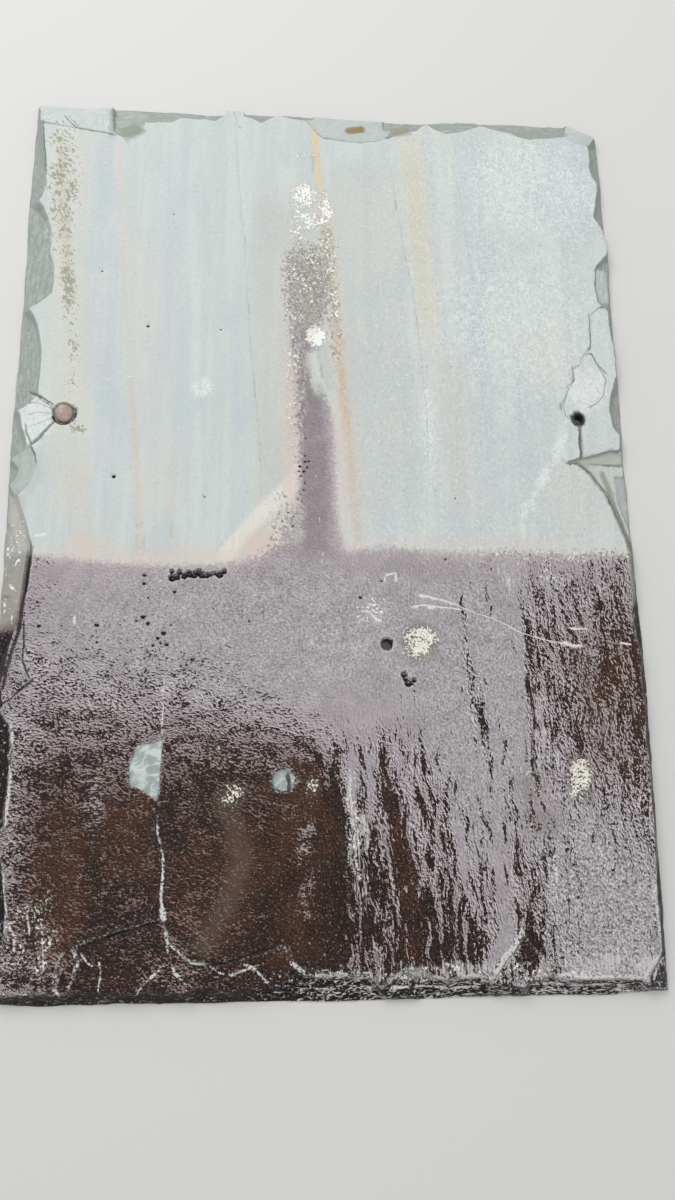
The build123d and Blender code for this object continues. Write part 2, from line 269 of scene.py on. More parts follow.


# Marks of the stone, in millimetres from the slate's centre. A line is its width, its
# strength and its path. A patch is its centre, its half sizes, how far it leans sideways for each millimetre
# up, and its strength.

# Cracks, slits and the arrises that catch the shade, drawn as dark lines of painted shade and cut as shallow
# grooves
HAIRLINES = {
    "head_crack": (0.5, 0.38, [(-46.5, 213), (-45, 190), (-42.5, 160), (-40, 130), (-37.5, 90), (-33.5, 50),
        (-30, 5)]),
    "middle_crack": (0.45, 0.38, [(35, 200), (39, 160), (44, 125), (48, 93), (50, 53), (51, 10)]),
    "right_crack": (0.4, 0.33, [(71, 190), (74, 150), (78, 120), (82, 80)]),
    "head_arris": (1.5, 0.85, [(-149, 211), (-140, 209), (-130, 207.5), (-115, 205), (-108, 203.5)]),
    "left_arris": (0.9, 0.7, [(-147, 213), (-146, 205), (-145, 195), (-144, 185), (-143, 177)]),
    "nail_crack_head": (1.0, 1.0, [(-131.5, 49), (-136, 52), (-141, 55.5), (-145, 58)]),
    "nail_crack_tail": (1.4, 1.0, [(-130.5, 41), (-134, 37), (-137.5, 32), (-141, 28)]),
    "fan_a": (0.6, 0.55, [(-132.6, 47.5), (-138, 50), (-145, 51.5)]),
    "fan_b": (0.6, 0.5, [(-132.8, 45), (-138.5, 45.6), (-145, 44.5)]),
    "fan_c": (0.6, 0.5, [(-132.4, 43), (-137, 40.5), (-142, 38.5)]),
    "spall_side": (0.7, 0.6, [(136.5, 84), (139.5, 77), (143.5, 69), (141, 61), (137, 56), (131.5, 53)]),
    "fan_crack": (0.9, 0.7, [(-145.5, 41), (-144, 35), (-141, 28), (-139, 23), (-138, 18)]),
    "hole_crack": (1.7, 1.0, [(128, 45), (127.3, 36), (127, 26)]),
    "triangle_crack": (1.0, 0.9, [(118, 23.5), (125, 23.5), (129, 20), (134, 13), (138, 8)]),
    "left_crack": (1.8, 1.0, [(-139.5, -44), (-140.5, -58), (-142, -66), (-144, -74), (-145.5, -82),
        (-147, -92)]),
    "left_scar_edge": (1.2, 1.0, [(-138.3, -20), (-138.4, -28), (-138.8, -37), (-139.4, -46)]),
    "head_slash_a": (0.9, 0.7, [(-137, 217), (-133, 212), (-129.5, 208)]),
    "head_slash_b": (0.7, 0.6, [(-134.5, 216.5), (-131, 212.5), (-128.5, 209)]),
    "head_scallop": (0.9, 0.6, [(-7, 214), (-3, 209), (0, 206.5), (8, 205.5), (20, 204.5), (30, 206.5),
        (36, 210), (45, 213)]),
    "left_point_crack": (1.1, 1.0, [(-132, -85), (-135.5, -88), (-138, -90), (-142, -94), (-147, -97)]),
    "left_point_arris": (0.9, 1.0, [(-139, -57), (-138.3, -68), (-138.5, -77), (-136.5, -82), (-133.5, -86)]),
    "left_low_crack": (0.7, 0.7, [(-130, -85), (-127, -83)]),
    "margin_crack": (1.0, 0.9, [(138, 8), (141, 0), (144, -8), (147, -16), (149, -22)]),
    "spall_crack": (0.8, 0.7, [(133.5, 83), (136.5, 84), (138, 80), (141, 76), (144, 72)]),
    "spall_arris": (0.8, 0.7, [(137, 107), (136.3, 98), (136.2, 90), (135.5, 85)]),
    "spall_low": (0.7, 0.5, [(127, 70), (125.5, 66), (122.5, 62), (120, 54), (121, 49), (124.5, 46.5)]),
    "margin_arris": (0.9, 0.7, [(142.5, 111), (141.5, 122), (142.5, 132), (145, 137)]),
    "tail_arris": (1.1, 1.0, [(-107, -201), (-100, -199), (-92, -196), (-85, -194), (-78, -192),
        (-72, -190.5)]),
    "tail_arris_right": (1.0, 1.0, [(-52, -209), (-44, -208), (-36, -205.5), (-28, -203), (-22, -202)]),
    "tail_step": (1.0, 0.9, [(-30, -212), (-24, -215), (-14, -215.5), (-2, -215), (10, -216)]),
    "shell_slit": (2.0, 1.0, [(-18.6, -128), (-17.4, -132), (-18, -136.5)]),
}

# Lime in the cracks and drips of it, and painted highlights along the tail's broken leaves, the rims and
# edges, and down the light runs
WHITE_LINES = {
    "fan_light_a": (0.8, 0.8, [(-132.3, 49), (-138, 52.6), (-144, 56)]),
    "fan_light_b": (0.7, 0.7, [(-132.9, 46.2), (-139, 47.8), (-145, 48)]),
    "fan_light_c": (0.8, 0.7, [(-132.6, 44), (-138, 42.8), (-143, 41.5)]),
    "joint_top": (0.9, 0.8, [(-74.3, -83), (-74.4, -95), (-74.6, -112)]),
    "joint_line": (1.6, 0.8, [(-74.6, -138), (-75.3, -152), (-72.5, -163), (-72, -172), (-73, -180),
        (-71.5, -186), (-69.5, -199), (-69, -206)]),
    "joint_blot": (3.4, 0.8, [(-72, -185), (-71, -191)]),
    "tail_branch_a": (1.1, 0.9, [(-69.5, -199), (-64, -204), (-59, -208), (-53, -209)]),
    "tail_branch_b": (1.5, 1.0, [(-69, -206), (-73, -211), (-79, -216), (-82, -221)]),
    "tail_branch_c": (1.5, 1.0, [(-69, -206), (-66, -212), (-61, -217), (-60, -221)]),
    "tail_branch_d": (2.4, 1.0, [(-113, -202), (-116, -208), (-117, -216), (-114, -221)]),
    "tail_branch_e": (2.5, 1.0, [(-109, -201), (-107, -208), (-109, -214), (-111, -218)]),
    "tail_branch_f": (1.2, 0.8, [(-106, -203), (-103, -207), (-100, -209)]),
    "tail_branch_g": (1.5, 0.8, [(-38, -208), (-32, -211), (-27, -216), (-20, -218)]),
    "tail_branch_h": (2.4, 0.8, [(-18, -207), (-13, -211), (-8, -214), (2, -214), (9, -214)]),
    "tail_branch_i": (1.2, 0.9, [(-52, -209), (-47, -212), (-42, -213), (-36, -211), (-30, -209)]),
    "ridge": (2.4, 1.0, [(85.5, -195), (81, -203), (76, -208), (72, -214), (70, -220)]),
    "chip_rim": (2.2, 0.8, [(22, -221), (27, -216), (32, -213)]),
    "tail_rim_right": (2.2, 1.0, [(97, -214.5), (110, -216.2), (126, -216.5), (138, -217), (141, -212),
        (146, -207)]),
    "tail_rim_middle": (1.7, 1.0, [(44, -214.5), (52, -217), (62, -215), (69, -216)]),
    "tail_leaf_right": (1.2, 1.0, [(76, -217), (84, -219.5), (97, -219), (110, -220), (122, -219.5),
        (134, -221)]),
    "tail_leaf_low": (0.9, 0.9, [(88, -223), (98, -221.8), (112, -222.6), (124, -222), (137, -223.4)]),
    "tail_leaf_middle": (1.1, 1.0, [(12, -218.6), (24, -220), (40, -218.8), (52, -220.4), (66, -219.4)]),
    "tail_leaf_left": (1.0, 0.8, [(-36, -219.6), (-22, -220.8), (-8, -219.4), (6, -220.6)]),
    "right_rim": (1.9, 1.0, [(146.2, -207), (146, -195), (145.4, -183), (146.5, -176)]),
    "drip_a": (0.9, 0.9, [(135, -215), (136, -206), (136.6, -202)]),
    "drip_b": (0.8, 0.8, [(126, -216), (126.5, -208), (126.4, -203)]),
    "drip_c": (0.8, 0.8, [(113, -215), (113.4, -208)]),
    "drip_d": (0.7, 0.8, [(103, -214), (103.2, -208)]),
    "drip_e": (0.9, 0.8, [(136, -191), (137, -196)]),
    "left_dash_a": (1.4, 0.8, [(-137, -190), (-134, -196), (-133, -205)]),
    "left_dash_b": (1.1, 0.8, [(-129, -186), (-127.5, -196), (-129, -203)]),
    "left_dash_c": (0.9, 0.8, [(-122, -196), (-121, -206), (-120.5, -213)]),
    "left_dash_d": (1.2, 0.8, [(-143, -217), (-134, -219.5), (-126, -219)]),
    "tail_branch_j": (0.9, 0.8, [(-98, -206), (-97, -213), (-98, -220)]),
    "joint_dash_a": (0.9, 0.8, [(-1.8, -24), (-2, -30)]),
    "joint_dash_b": (0.7, 0.7, [(-11.6, 37.6), (-11.3, 34.4)]),
    "joint_dash_c": (0.7, 0.7, [(-5, 15.5), (-4.6, 12.8)]),
    "joint_dash_d": (0.7, 0.7, [(-3.2, -6), (-3.4, -9.6)]),
    "corner_crack": (0.9, 0.8, [(149, -208), (144.5, -213), (142, -219)]),
    "left_edge_line": (1.7, 0.8, [(-142, -103), (-140, -112), (-141.5, -120), (-140, -130), (-140.5, -145),
        (-141, -152)]),
    "left_edge_low": (1.2, 0.8, [(-140.5, -168), (-139.5, -178), (-138, -186), (-138.5, -196)]),
    "film_scratch": (0.6, 0.6, [(-18, -75), (-20.5, -82), (-23, -91)]),
    "hair_middle": (0.4, 0.3, [(-28.5, -140), (-28, -160), (-29, -176)]),
    "hair_right": (0.4, 0.3, [(-8, -140), (-8.5, -155), (-4, -175), (0, -200)]),
    "light_run": (1.6, 0.8, [(10.5, -126), (9.5, -138), (11, -150), (12, -165), (14, -178)]),
    "light_run_low": (1.0, 0.8, [(100.5, -163), (101, -178), (100.5, -196)]),
}

# Scratches and scuffs that show fresh stone
SCRATCHES = {
    "long": (0.6, 1.0, [(44, -45), (56, -47.5), (68, -52.5), (80, -57), (92, -63), (104, -66.5),
        (121, -69.5)]),
    "long_head": (1.4, 1.0, [(43.5, -44.6), (48, -45.6), (53, -47)]),
    "short": (0.7, 1.0, [(39, -50.5), (46, -49.9), (53, -50.5), (66, -52.3)]),
    "scuff_a": (1.5, 1.0, [(115, -60.5), (119, -61.2), (124, -61)]),
    "scuff_b": (2.0, 1.0, [(111, -67.6), (116, -69.2), (121, -68.6)]),
    "scuff_c": (1.2, 1.0, [(139, -67.5), (144, -68.3)]),
    "hook": (0.8, 1.0, [(27.5, -39), (27.6, -36), (31, -35), (33, -34.5), (33, -39)]),
    "flakes": (1.4, 1.0, [(20, -53), (21.5, -55.6), (26, -58)]),
    "left_dash": (1.6, 1.0, [(-137, -17.5), (-131, -16.5)]),
    "fleck": (1.8, 1.0, [(-116, -56.5), (-116.2, -60.5)]),
    "pale_a": (0.8, 0.6, [(-97.5, 65), (-94, 65.2)]),
    "pale_b": (0.5, 0.6, [(-105, 62), (-108, 63.5), (-102, 61.8)]),
    "pale_c": (0.6, 0.6, [(-6, -60), (-7, -67), (-8, -70)]),
}

# Line between the part that the course above covered and the part left to the rain
WEATHER_LINE = [
    (-152, -60), (-142.5, -56), (-140.2, -24), (-137, -27), (-110, -30), (-80, -31.5), (-50, -31), (-36, -28),
    (14, -23), (30, -21.5), (60, -24), (96, -25), (152, -24.5),
]

# Stripe that the open joint of the course above let the rain reach, by height
JOINT_LEFT = [
    (-30, -34), (-20, -22), (-10, -17.5), (0, -14), (20, -11.5), (55, -11.5), (70, -12.5), (85, -14),
    (100, -17), (135, -20),
]
JOINT_RIGHT = [
    (-30, 15), (-22, 8), (-10, 5.5), (0, 4.5), (40, 3.5), (52, 1.5), (60, -4.5), (82, -8.5), (94, -5),
    (106, 0), (135, 1),
]
JOINT_TOP = 130.0

# How far the wet film has broken up: the share of bare stone down the slate, at places across it
BARE_SHARE = {
    -146: [(-40, 0.1), (-80, 0.22), (-110, 0.22), (-130, 0.3), (-170, 0.55), (-200, 0.42)],
    -124: [(-54, 0.004), (-66, 0.04), (-80, 0.17), (-95, 0.34), (-112, 0.53), (-130, 0.8), (-155, 0.94),
        (-205, 0.85)],
    -98: [(-60, 0.004), (-72, 0.05), (-82, 0.15), (-95, 0.33), (-112, 0.55), (-130, 0.75), (-148, 0.95),
        (-205, 0.96)],
    -60: [(-68, 0.004), (-80, 0.07), (-90, 0.17), (-98, 0.26), (-112, 0.58), (-130, 0.82), (-155, 0.95),
        (-205, 0.85)],
    -30: [(-82, 0.004), (-92, 0.07), (-104, 0.22), (-113, 0.56), (-135, 0.87), (-155, 0.98), (-210, 0.98)],
    -3: [(-88, 0.004), (-98, 0.05), (-110, 0.3), (-122, 0.72), (-140, 0.92), (-160, 0.97), (-210, 0.97)],
    10: [(-96, 0.002), (-108, 0.04), (-125, 0.32), (-150, 0.64), (-175, 0.76), (-205, 0.86)],
    40: [(-100, 0.006), (-110, 0.06), (-125, 0.2), (-150, 0.45), (-172, 0.72), (-205, 0.9)],
    57: [(-120, 0.006), (-130, 0.04), (-155, 0.23), (-172, 0.43), (-188, 0.72), (-205, 0.82)],
    74: [(-100, 0.01), (-165, 0.05), (-185, 0.22), (-205, 0.3)],
    91.5: [(-100, 0.01), (-130, 0.03), (-155, 0.13), (-175, 0.32), (-205, 0.5)],
    92.5: [(-26, 0.04), (-45, 0.16), (-65, 0.42), (-100, 0.48), (-120, 0.3), (-140, 0.06), (-205, 0.25)],
    120: [(-26, 0.05), (-42, 0.22), (-52, 0.42), (-65, 0.58), (-110, 0.54), (-128, 0.42), (-142, 0.2),
        (-158, 0.06), (-175, 0.01)],
    148: [(-26, 0.12), (-40, 0.36), (-50, 0.66), (-65, 0.88), (-105, 0.84), (-125, 0.65), (-142, 0.4),
        (-165, 0.2), (-190, 0.04)],
}

# Where more or less of the film is left than BARE_SHARE gives
FILM_PATCHES = {
    "smear": ((-103, -143), (5, 15), 0.0, -0.3),
    "left_fringe": ((-137, -165), (5, 22), 0.0, -0.15),
    "tail_left": ((-128, -212), (22, 10), 0.0, -0.14),
    "tail_middle": ((-70, -214), (18, 7), 0.0, -0.08),
    "light_column": ((10.5, -142), (2.0, 22), 0.0, -0.5),
    "dark_column_a": ((31, -155), (4.5, 48), -0.13, 0.4),
    "dark_column_b": ((3, -160), (4.5, 45), 0.0, 0.3),
    "dark_column_c": ((45, -138), (2.6, 25), -0.1, 0.35),
    "dark_column_d": ((54, -165), (3, 38), -0.08, 0.25),
    "dark_column_e": ((66, -82), (2.0, 34), -0.05, 0.45),
    "dark_column_f": ((72, -108), (2.3, 27), -0.08, 0.42),
    "dark_column_g": ((83, -140), (1.6, 13), -0.05, 0.3),
    "dark_column_h": ((87, -185), (3, 32), -0.1, 0.4),
    "dark_column_i": ((95, -188), (2.5, 32), -0.08, 0.45),
    "dark_column_j": ((95, -88), (2.0, 34), -0.03, 0.35),
    "dark_column_l": ((25, -119), (3.2, 13), 0.0, 0.38),
    "dark_column_k": ((104, -95), (2.2, 30), -0.08, 0.2),
    "light_column_b": ((60, -172), (2.2, 30), -0.08, -0.3),
    "light_column_c": ((78, -190), (3.2, 30), -0.1, -0.2),
    "light_column_d": ((19, -135), (3, 18), 0.0, -0.25),
    "light_column_e": ((41, -165), (1.5, 34), -0.1, -0.3),
    "right_light": ((99, -105), (2.4, 20), 0.0, -0.25),
    "ridge_light": ((74, -204), (4, 12), 0.6, -0.3),
    "islands": ((-11, -158), (5, 11), 0.2, -0.3),
    "islands_low": ((-9, -182), (4, 12), 0.1, -0.25),
    "ridge_dark": ((87, -208), (7, 9), 0.3, 0.5),
}

# Where the bare stone is rust brown
BROWN_PATCHES = {
    "left_band": ((-117, -172), (13, 38), 0.0, 1.0),
    "left_oval": ((-88, -155), (16, 24), 0.0, 0.9),
    "middle": ((-48, -175), (26, 40), 0.0, 0.75),
    "by_light_column": ((-15, -165), (21, 50), 0.0, 0.8),
    "column": ((32, -160), (9, 60), -0.1, 0.65),
    "right": ((122, -97), (9, 20), 0.0, 1.0),
    "right_field": ((134, -90), (24, 50), 0.0, 0.75),
    "low_left_corner": ((-132, -193), (6, 11), 0.0, 1.0),
    "right_edge": ((147, -66), (5, 26), 0.0, 1.0),
}

# Where the film is thin enough to show the stone's grit
GRAIN_PATCHES = {
    "low_right": ((122, -188), (44, 50), 0.0, 1.0),
    "middle": ((70, -95), (34, 80), 0.0, 0.6),
    "stripe": ((-5, 0), (14, 60), 0.0, 0.25),
    "left": ((-134, -150), (12, 60), 0.0, 0.5),
    "tail": ((-72, -210), (58, 13), 0.0, 0.75),
    "film": ((-30, -62), (115, 40), 0.0, 0.55),
}

# Flecks of lime
LIME_PATCHES = {
    "joint_head": ((-10, 170), (7, 10), 0.0, 0.85),
    "joint_middle": ((1, 163), (4, 12), 0.0, 0.9),
    "joint_low": ((-10, 156), (9, 9), 0.0, 0.62),
    "joint_foot": ((-11, 126), (11, 26), 0.0, 0.29),
    "rust_flecks": ((4, 125), (4, 34), -0.06, 0.4),
    "joint_edge": ((-16, 80), (4, 60), 0.0, 0.3),
    "joint_fleck": ((-16, 149), (1.6, 1.6), 0.0, 1.2),
    "blob": ((-4.5, 89), (5.2, 7), 0.0, 1.5),
    "brush": ((-9, 195), (7, 3), 0.0, 0.42),
    "border_right": ((100, -24.5), (48, 2.4), 0.0, 0.3),
    "border_cluster": ((123, -25), (6, 2.4), 0.0, 0.5),
    "drips": ((90, -33), (5, 7), 0.0, 0.3),
    "drips_right": ((108, -33), (12, 8), 0.0, 0.22),
    "third_hole_flecks": ((20, -52), (8, 7), 0.7, 0.3),
    "column_flecks": ((11, -150), (4, 28), 0.0, 0.22),
    "tail_flecks": ((60, -214), (90, 4), 0.0, 0.28),
    "left_scar": ((-146, -22), (5, 16), 0.0, 0.35),
    "left_scar_foot": ((-147, -50), (4, 12), 0.0, 0.24),
    "left_low_flecks": ((-128, -198), (14, 22), 0.0, 0.18),
}

# Fine vertical drips
DRIP_PATCHES = {
    "right": ((128, -212), (27, 6), 0.0, 1.0),
    "middle": ((48, -213), (36, 4), 0.0, 0.8),
    "far_right": ((100, -120), (9, 22), 0.0, 0.7),
    "column_foot": ((14, -165), (5, 26), 0.0, 0.8),
    "below_line": ((88, -36), (5, 9), 0.0, 0.9),
}

# Etched, grimy bloom
GRIME_PATCHES = {
    "joint_mouth": ((-9, 120), (13, 30), 0.0, 0.75),
    "joint_rust_side": ((3, 120), (5, 50), -0.06, 0.7),
    "joint_edge": ((-13, 78), (4, 50), 0.0, 0.3),
    "left_margin": ((-134, 172), (9, 42), -0.02, 0.72),
    "left_margin_low": ((-129, 118), (4.5, 26), -0.04, 0.95),
    "left_margin_foot": ((-124, 75), (3, 38), -0.04, 0.42),
    "nail_foot": ((-119, 36), (6, 3), -0.5, 0.7),
    "flare_foot": ((-20, -8), (9, 14), 0.0, 0.5),
}

# Crusts of lichen
LICHEN_PATCHES = {
    "by_third_hole": ((43.5, -68), (9, 9.5), 0.0, 1.25),
    "right": ((115, -131), (6.5, 11), 0.0, 1.2),
    "right_faint": ((93, -134), (9, 9), 0.0, 0.5),
    "right_low": ((97, -150), (9, 10), 0.0, 0.4),
    "middle": ((-42, -137.5), (6, 5.5), 0.0, 0.75),
    "middle_small": ((-7, -135), (3.5, 4.5), 0.0, 0.85),
    "left_small": ((-51, -117), (4, 3), 0.0, 0.6),
}

# Bloom that the damp has turned pink beside the weather line
WARM_PATCHES = {
    "border_left": ((-112, -24), (16, 10), 0.0, 0.75),
    "border": ((-80, -27), (60, 7), 0.0, 0.7),
    "border_right": ((70, -20), (90, 7), 0.0, 0.55),
    "joint_side": ((-17, 40), (6, 70), 0.0, 0.8),
    "joint_right": ((8, 20), (4, 55), 0.0, 0.6),
    "flare_foot": ((-27, -20), (16, 14), 0.6, 0.9),
}

# Bloom that is rubbed or burst to a brighter white
SCUFF_PATCHES = {
    "right_smear": ((116.5, 33), (2.2, 14), 0.35, 0.85),
    "right_smear_low": ((108, 16), (3, 8), 0.5, 1.0),
    "right_dash": ((96, -7), (1.6, 10), 0.15, 0.8),
    "right_dash_b": ((102, 6), (1.6, 9), 0.2, 0.6),
    "middle_smear": ((51, 38), (3.5, 30), 0.0, 0.6),
    "middle_mark": ((-60, 60), (6, 6), 0.0, 0.8),
    "spall": ((133, 64), (10, 13), 0.2, 1.0),
    "nail_fan": ((-141, 42), (9, 14), 0.0, 0.9),
    "head_right": ((112, 180), (40, 34), 0.0, 0.45),
    "right_field": ((100, 100), (45, 50), 0.0, 0.35),
    "head_facet": ((-126, 214), (26, 9), 0.0, 0.35),
}

# Where the weather line is more frayed, in mm
BORDER_FUZZ = {
    "joint_side": ((-14, 70), (6, 62), 0.0, 4.0),
    "flare_foot": ((-24, -14), (14, 16), 0.0, 7.0),
    "right": ((110, -24), (45, 9), 0.0, 3.0),
    "tongue": ((0, 56), (6, 8), 0.0, 2.5),
    "mouth": ((-9, 120), (14, 30), 0.0, 9.0),
}

# Chips and pits that the frame already holds, with the reach round each that gets the close mesh
SPOTS = {
    "slot": ((-60.5, -35.4), 16, "pit"),
    "pit": ((38, -84.7), 6, "pit"),
    "third_hole": ((28, -68.5), 6, "hole"),
    "socket": ((-127, 45.5), 8, "hole"),
    "shell_chip": ((-20, -131), 8, "fresh"),
    "flat_chip": ((-81, -126), 16, "fresh"),
}

# Pits too small for the frame: place and radius
SMALL_PITS = [
    (-77, 157, 1.0), (-88, 93, 1.3), (-112, 123, 0.9), (-52, 92, 0.7), (-101.5, 13, 1.7), (-58, 3, 0.6),
    (-85, -36, 1.4), (-85, -40, 1.5), (-71, -44, 1.3), (-83, -47, 0.9), (-106, -60, 1.6), (-85, -56, 1.7),
    (-82.5, -59, 1.6), (-88, -58, 0.9), (-132, -60.5, 1.3), (-75.5, -63.5, 1.9), (-74, -69, 1.5),
    (-80, -69.5, 1.1), (-73.5, -75.5, 1.0), (-62, -76, 1.5), (-67, -79, 1.0), (-36, -58, 0.9), (16, -46, 1.3),
    (26, -38, 0.8), (-10, 22, 1.1), (-10.5, 17, 1.2), (-10, 11, 0.9), (-12, 5, 0.8), (-14, -2, 0.9),
    (-57, -77, 1.0), (-55, -92, 1.0), (57, -27, 1.0), (63, 4, 0.7), (-78, -66, 1.2), (-76.5, -68.5, 1.2),
    (-72, -60, 0.9), (-110, -71.5, 1.0), (-64.5, -78.5, 0.9), (-118, -76, 1.2), (-90, -72, 0.8),
    (-12, 14.5, 1.0), (-13.5, -5, 1.0), (-17, -8, 0.9), (-19, -12, 0.8), (-21, -9, 0.7), (-8.4, 22.2, 1.0),
    (-12.4, 19.6, 1.1), (-9, 19, 0.9), (-13, 16.9, 1.0), (-10.8, 7.4, 1.0), (-13.6, 2.6, 0.9),
    (-18.2, -4.4, 0.8), (-16, -11.2, 1.0), (-11.4, 1.2, 0.7), (-15.6, -6.4, 1.0), (-10, 25, 0.8),
    (-9.6, 34, 0.7),
]

# Stains of the dry bloom: colour, strength, half width, soft rim and path. They show the bloom's grain
STAINS = {
    "pale_blue_left": ("C2CEDB", 0.34, 3, 5, [(-109, 214), (-107, 120), (-104, 30), (-101, -20)]),
    "pale_blue_mid": ("C6D1DA", 0.35, 5, 8, [(-79, 205), (-78, 120), (-76, 0)]),
    "pale_blue_streak": ("C4CFDC", 0.26, 2.5, 4, [(-47, 205), (-44, 120), (-42, 20), (-42, -20)]),
    "pale_blue_right": ("C2CCD9", 0.5, 8, 12, [(128, 216), (128, 150)]),
    "pale_blue_right_streak": ("C3CDDA", 0.45, 2.5, 4, [(74, 214), (79, 100), (85, -10)]),
    "blue_low": ("C2D0D6", 0.4, 6, 8, [(30, 30), (34, -15)]),
    "cream_margin": ("D8D8C8", 0.65, 6, 7, [(-131, 212), (-131, 150), (-127, 100), (-123, 30), (-120, -10)]),
    "yellow_margin": ("C4BE9C", 0.8, 1.0, 2.6, [(-137, 204), (-135, 180), (-134, 160), (-131.5, 140),
        (-128.5, 124), (-126, 104)]),
    "joint_beige": ("C3C3BA", 0.6, 7, 6, [(-10, 152), (-9, 136)]),
    "blob_side": ("C6C6BE", 0.65, 2.5, 2.5, [(1, 100), (0.5, 80), (1.5, 58)]),
    "cream_left": ("D9DAD2", 0.5, 5, 7, [(-92, 150), (-86, 60), (-80, -10)]),
    "beige_by_joint": ("CDC9C0", 0.6, 7, 9, [(-25, 175), (-24, 100), (-22, 20), (-28, -10)]),
    "beige_right": ("C9CCC5", 0.55, 12, 12, [(20, 200), (24, 80), (30, -10)]),
    "peach_band": ("DDD6C0", 0.6, 3.5, 5, [(47, 214), (49, 180), (51.5, 130)]),
    "peach_band_low": ("DDD4C4", 0.32, 3, 7, [(48, 190), (51.5, 130), (55, 80)]),
    "peach_band_foot": ("DBD4C8", 0.25, 3, 7, [(52, 120), (56, 50)]),
    "peach_band_mid": ("DDD3B2", 0.42, 2.2, 4, [(45.5, 205), (48, 160), (51, 125), (54, 92)]),
    "cream_spall": ("DADBCE", 0.45, 4, 13, [(106, 96), (112, 80), (114, 66)]),
    "beige_low_right": ("D8D3C8", 0.5, 5, 13, [(112, 22), (122, 6), (126, -14)]),
    "beige_mid_right": ("CFC9C2", 0.45, 4, 5, [(62, 84), (64, 40), (66, -6)]),
    "peach_thin": ("E2CDBB", 0.5, 0.5, 1.4, [(-106.5, 204), (-103.5, 150), (-99, 100), (-95.5, 62)]),
    "peach_low": ("DEC4AE", 0.62, 0.7, 1.5, [(-96, 66), (-92, 30), (-89.5, 5), (-87, -30)]),
    "peach_low_b": ("DCCBBC", 0.5, 0.5, 1.3, [(-75, 30), (-73, 0), (-71, -30)]),
    "peach_low_c": ("D9C9BD", 0.3, 3.5, 4, [(-119, 20), (-117, -5), (-115, -30)]),
    "flare_side": ("D3C7C3", 0.7, 5, 8, [(-15, 8), (-22, -6), (-30, -20), (-38, -28)]),
    "flare": ("F3EBE0", 0.95, 2.6, 2.6, [(-10, 22), (-17, 9), (-31, -5), (-40, -16), (-51, -31)]),
    "rust_head": ("E6CD9E", 0.9, 1.1, 1.8, [(-5, 217), (-3.7, 200), (-2.4, 178), (0, 160)]),
    "rust_halo": ("D6CDBD", 0.5, 4, 4, [(-1, 180), (4, 120), (8, 70), (13, 20), (16, -18)]),
    "rust": ("D0A680", 0.75, 1.2, 2.4, [(-0.5, 168), (2, 140), (3.5, 120), (6, 98), (8, 78)]),
    "rust_mid": ("D3AC88", 0.8, 1.2, 1.8, [(6.3, 92), (8, 70), (9.5, 50), (11, 32)]),
    "rust_low": ("D8BDAA", 0.75, 1.2, 1.9, [(10, 45), (11.8, 25), (13.6, 5), (15.5, -24)]),
    "rust_side": ("DDD3CF", 0.6, 2.0, 2.2, [(5, 50), (6.5, 25), (8, 5), (10, -20)]),
}
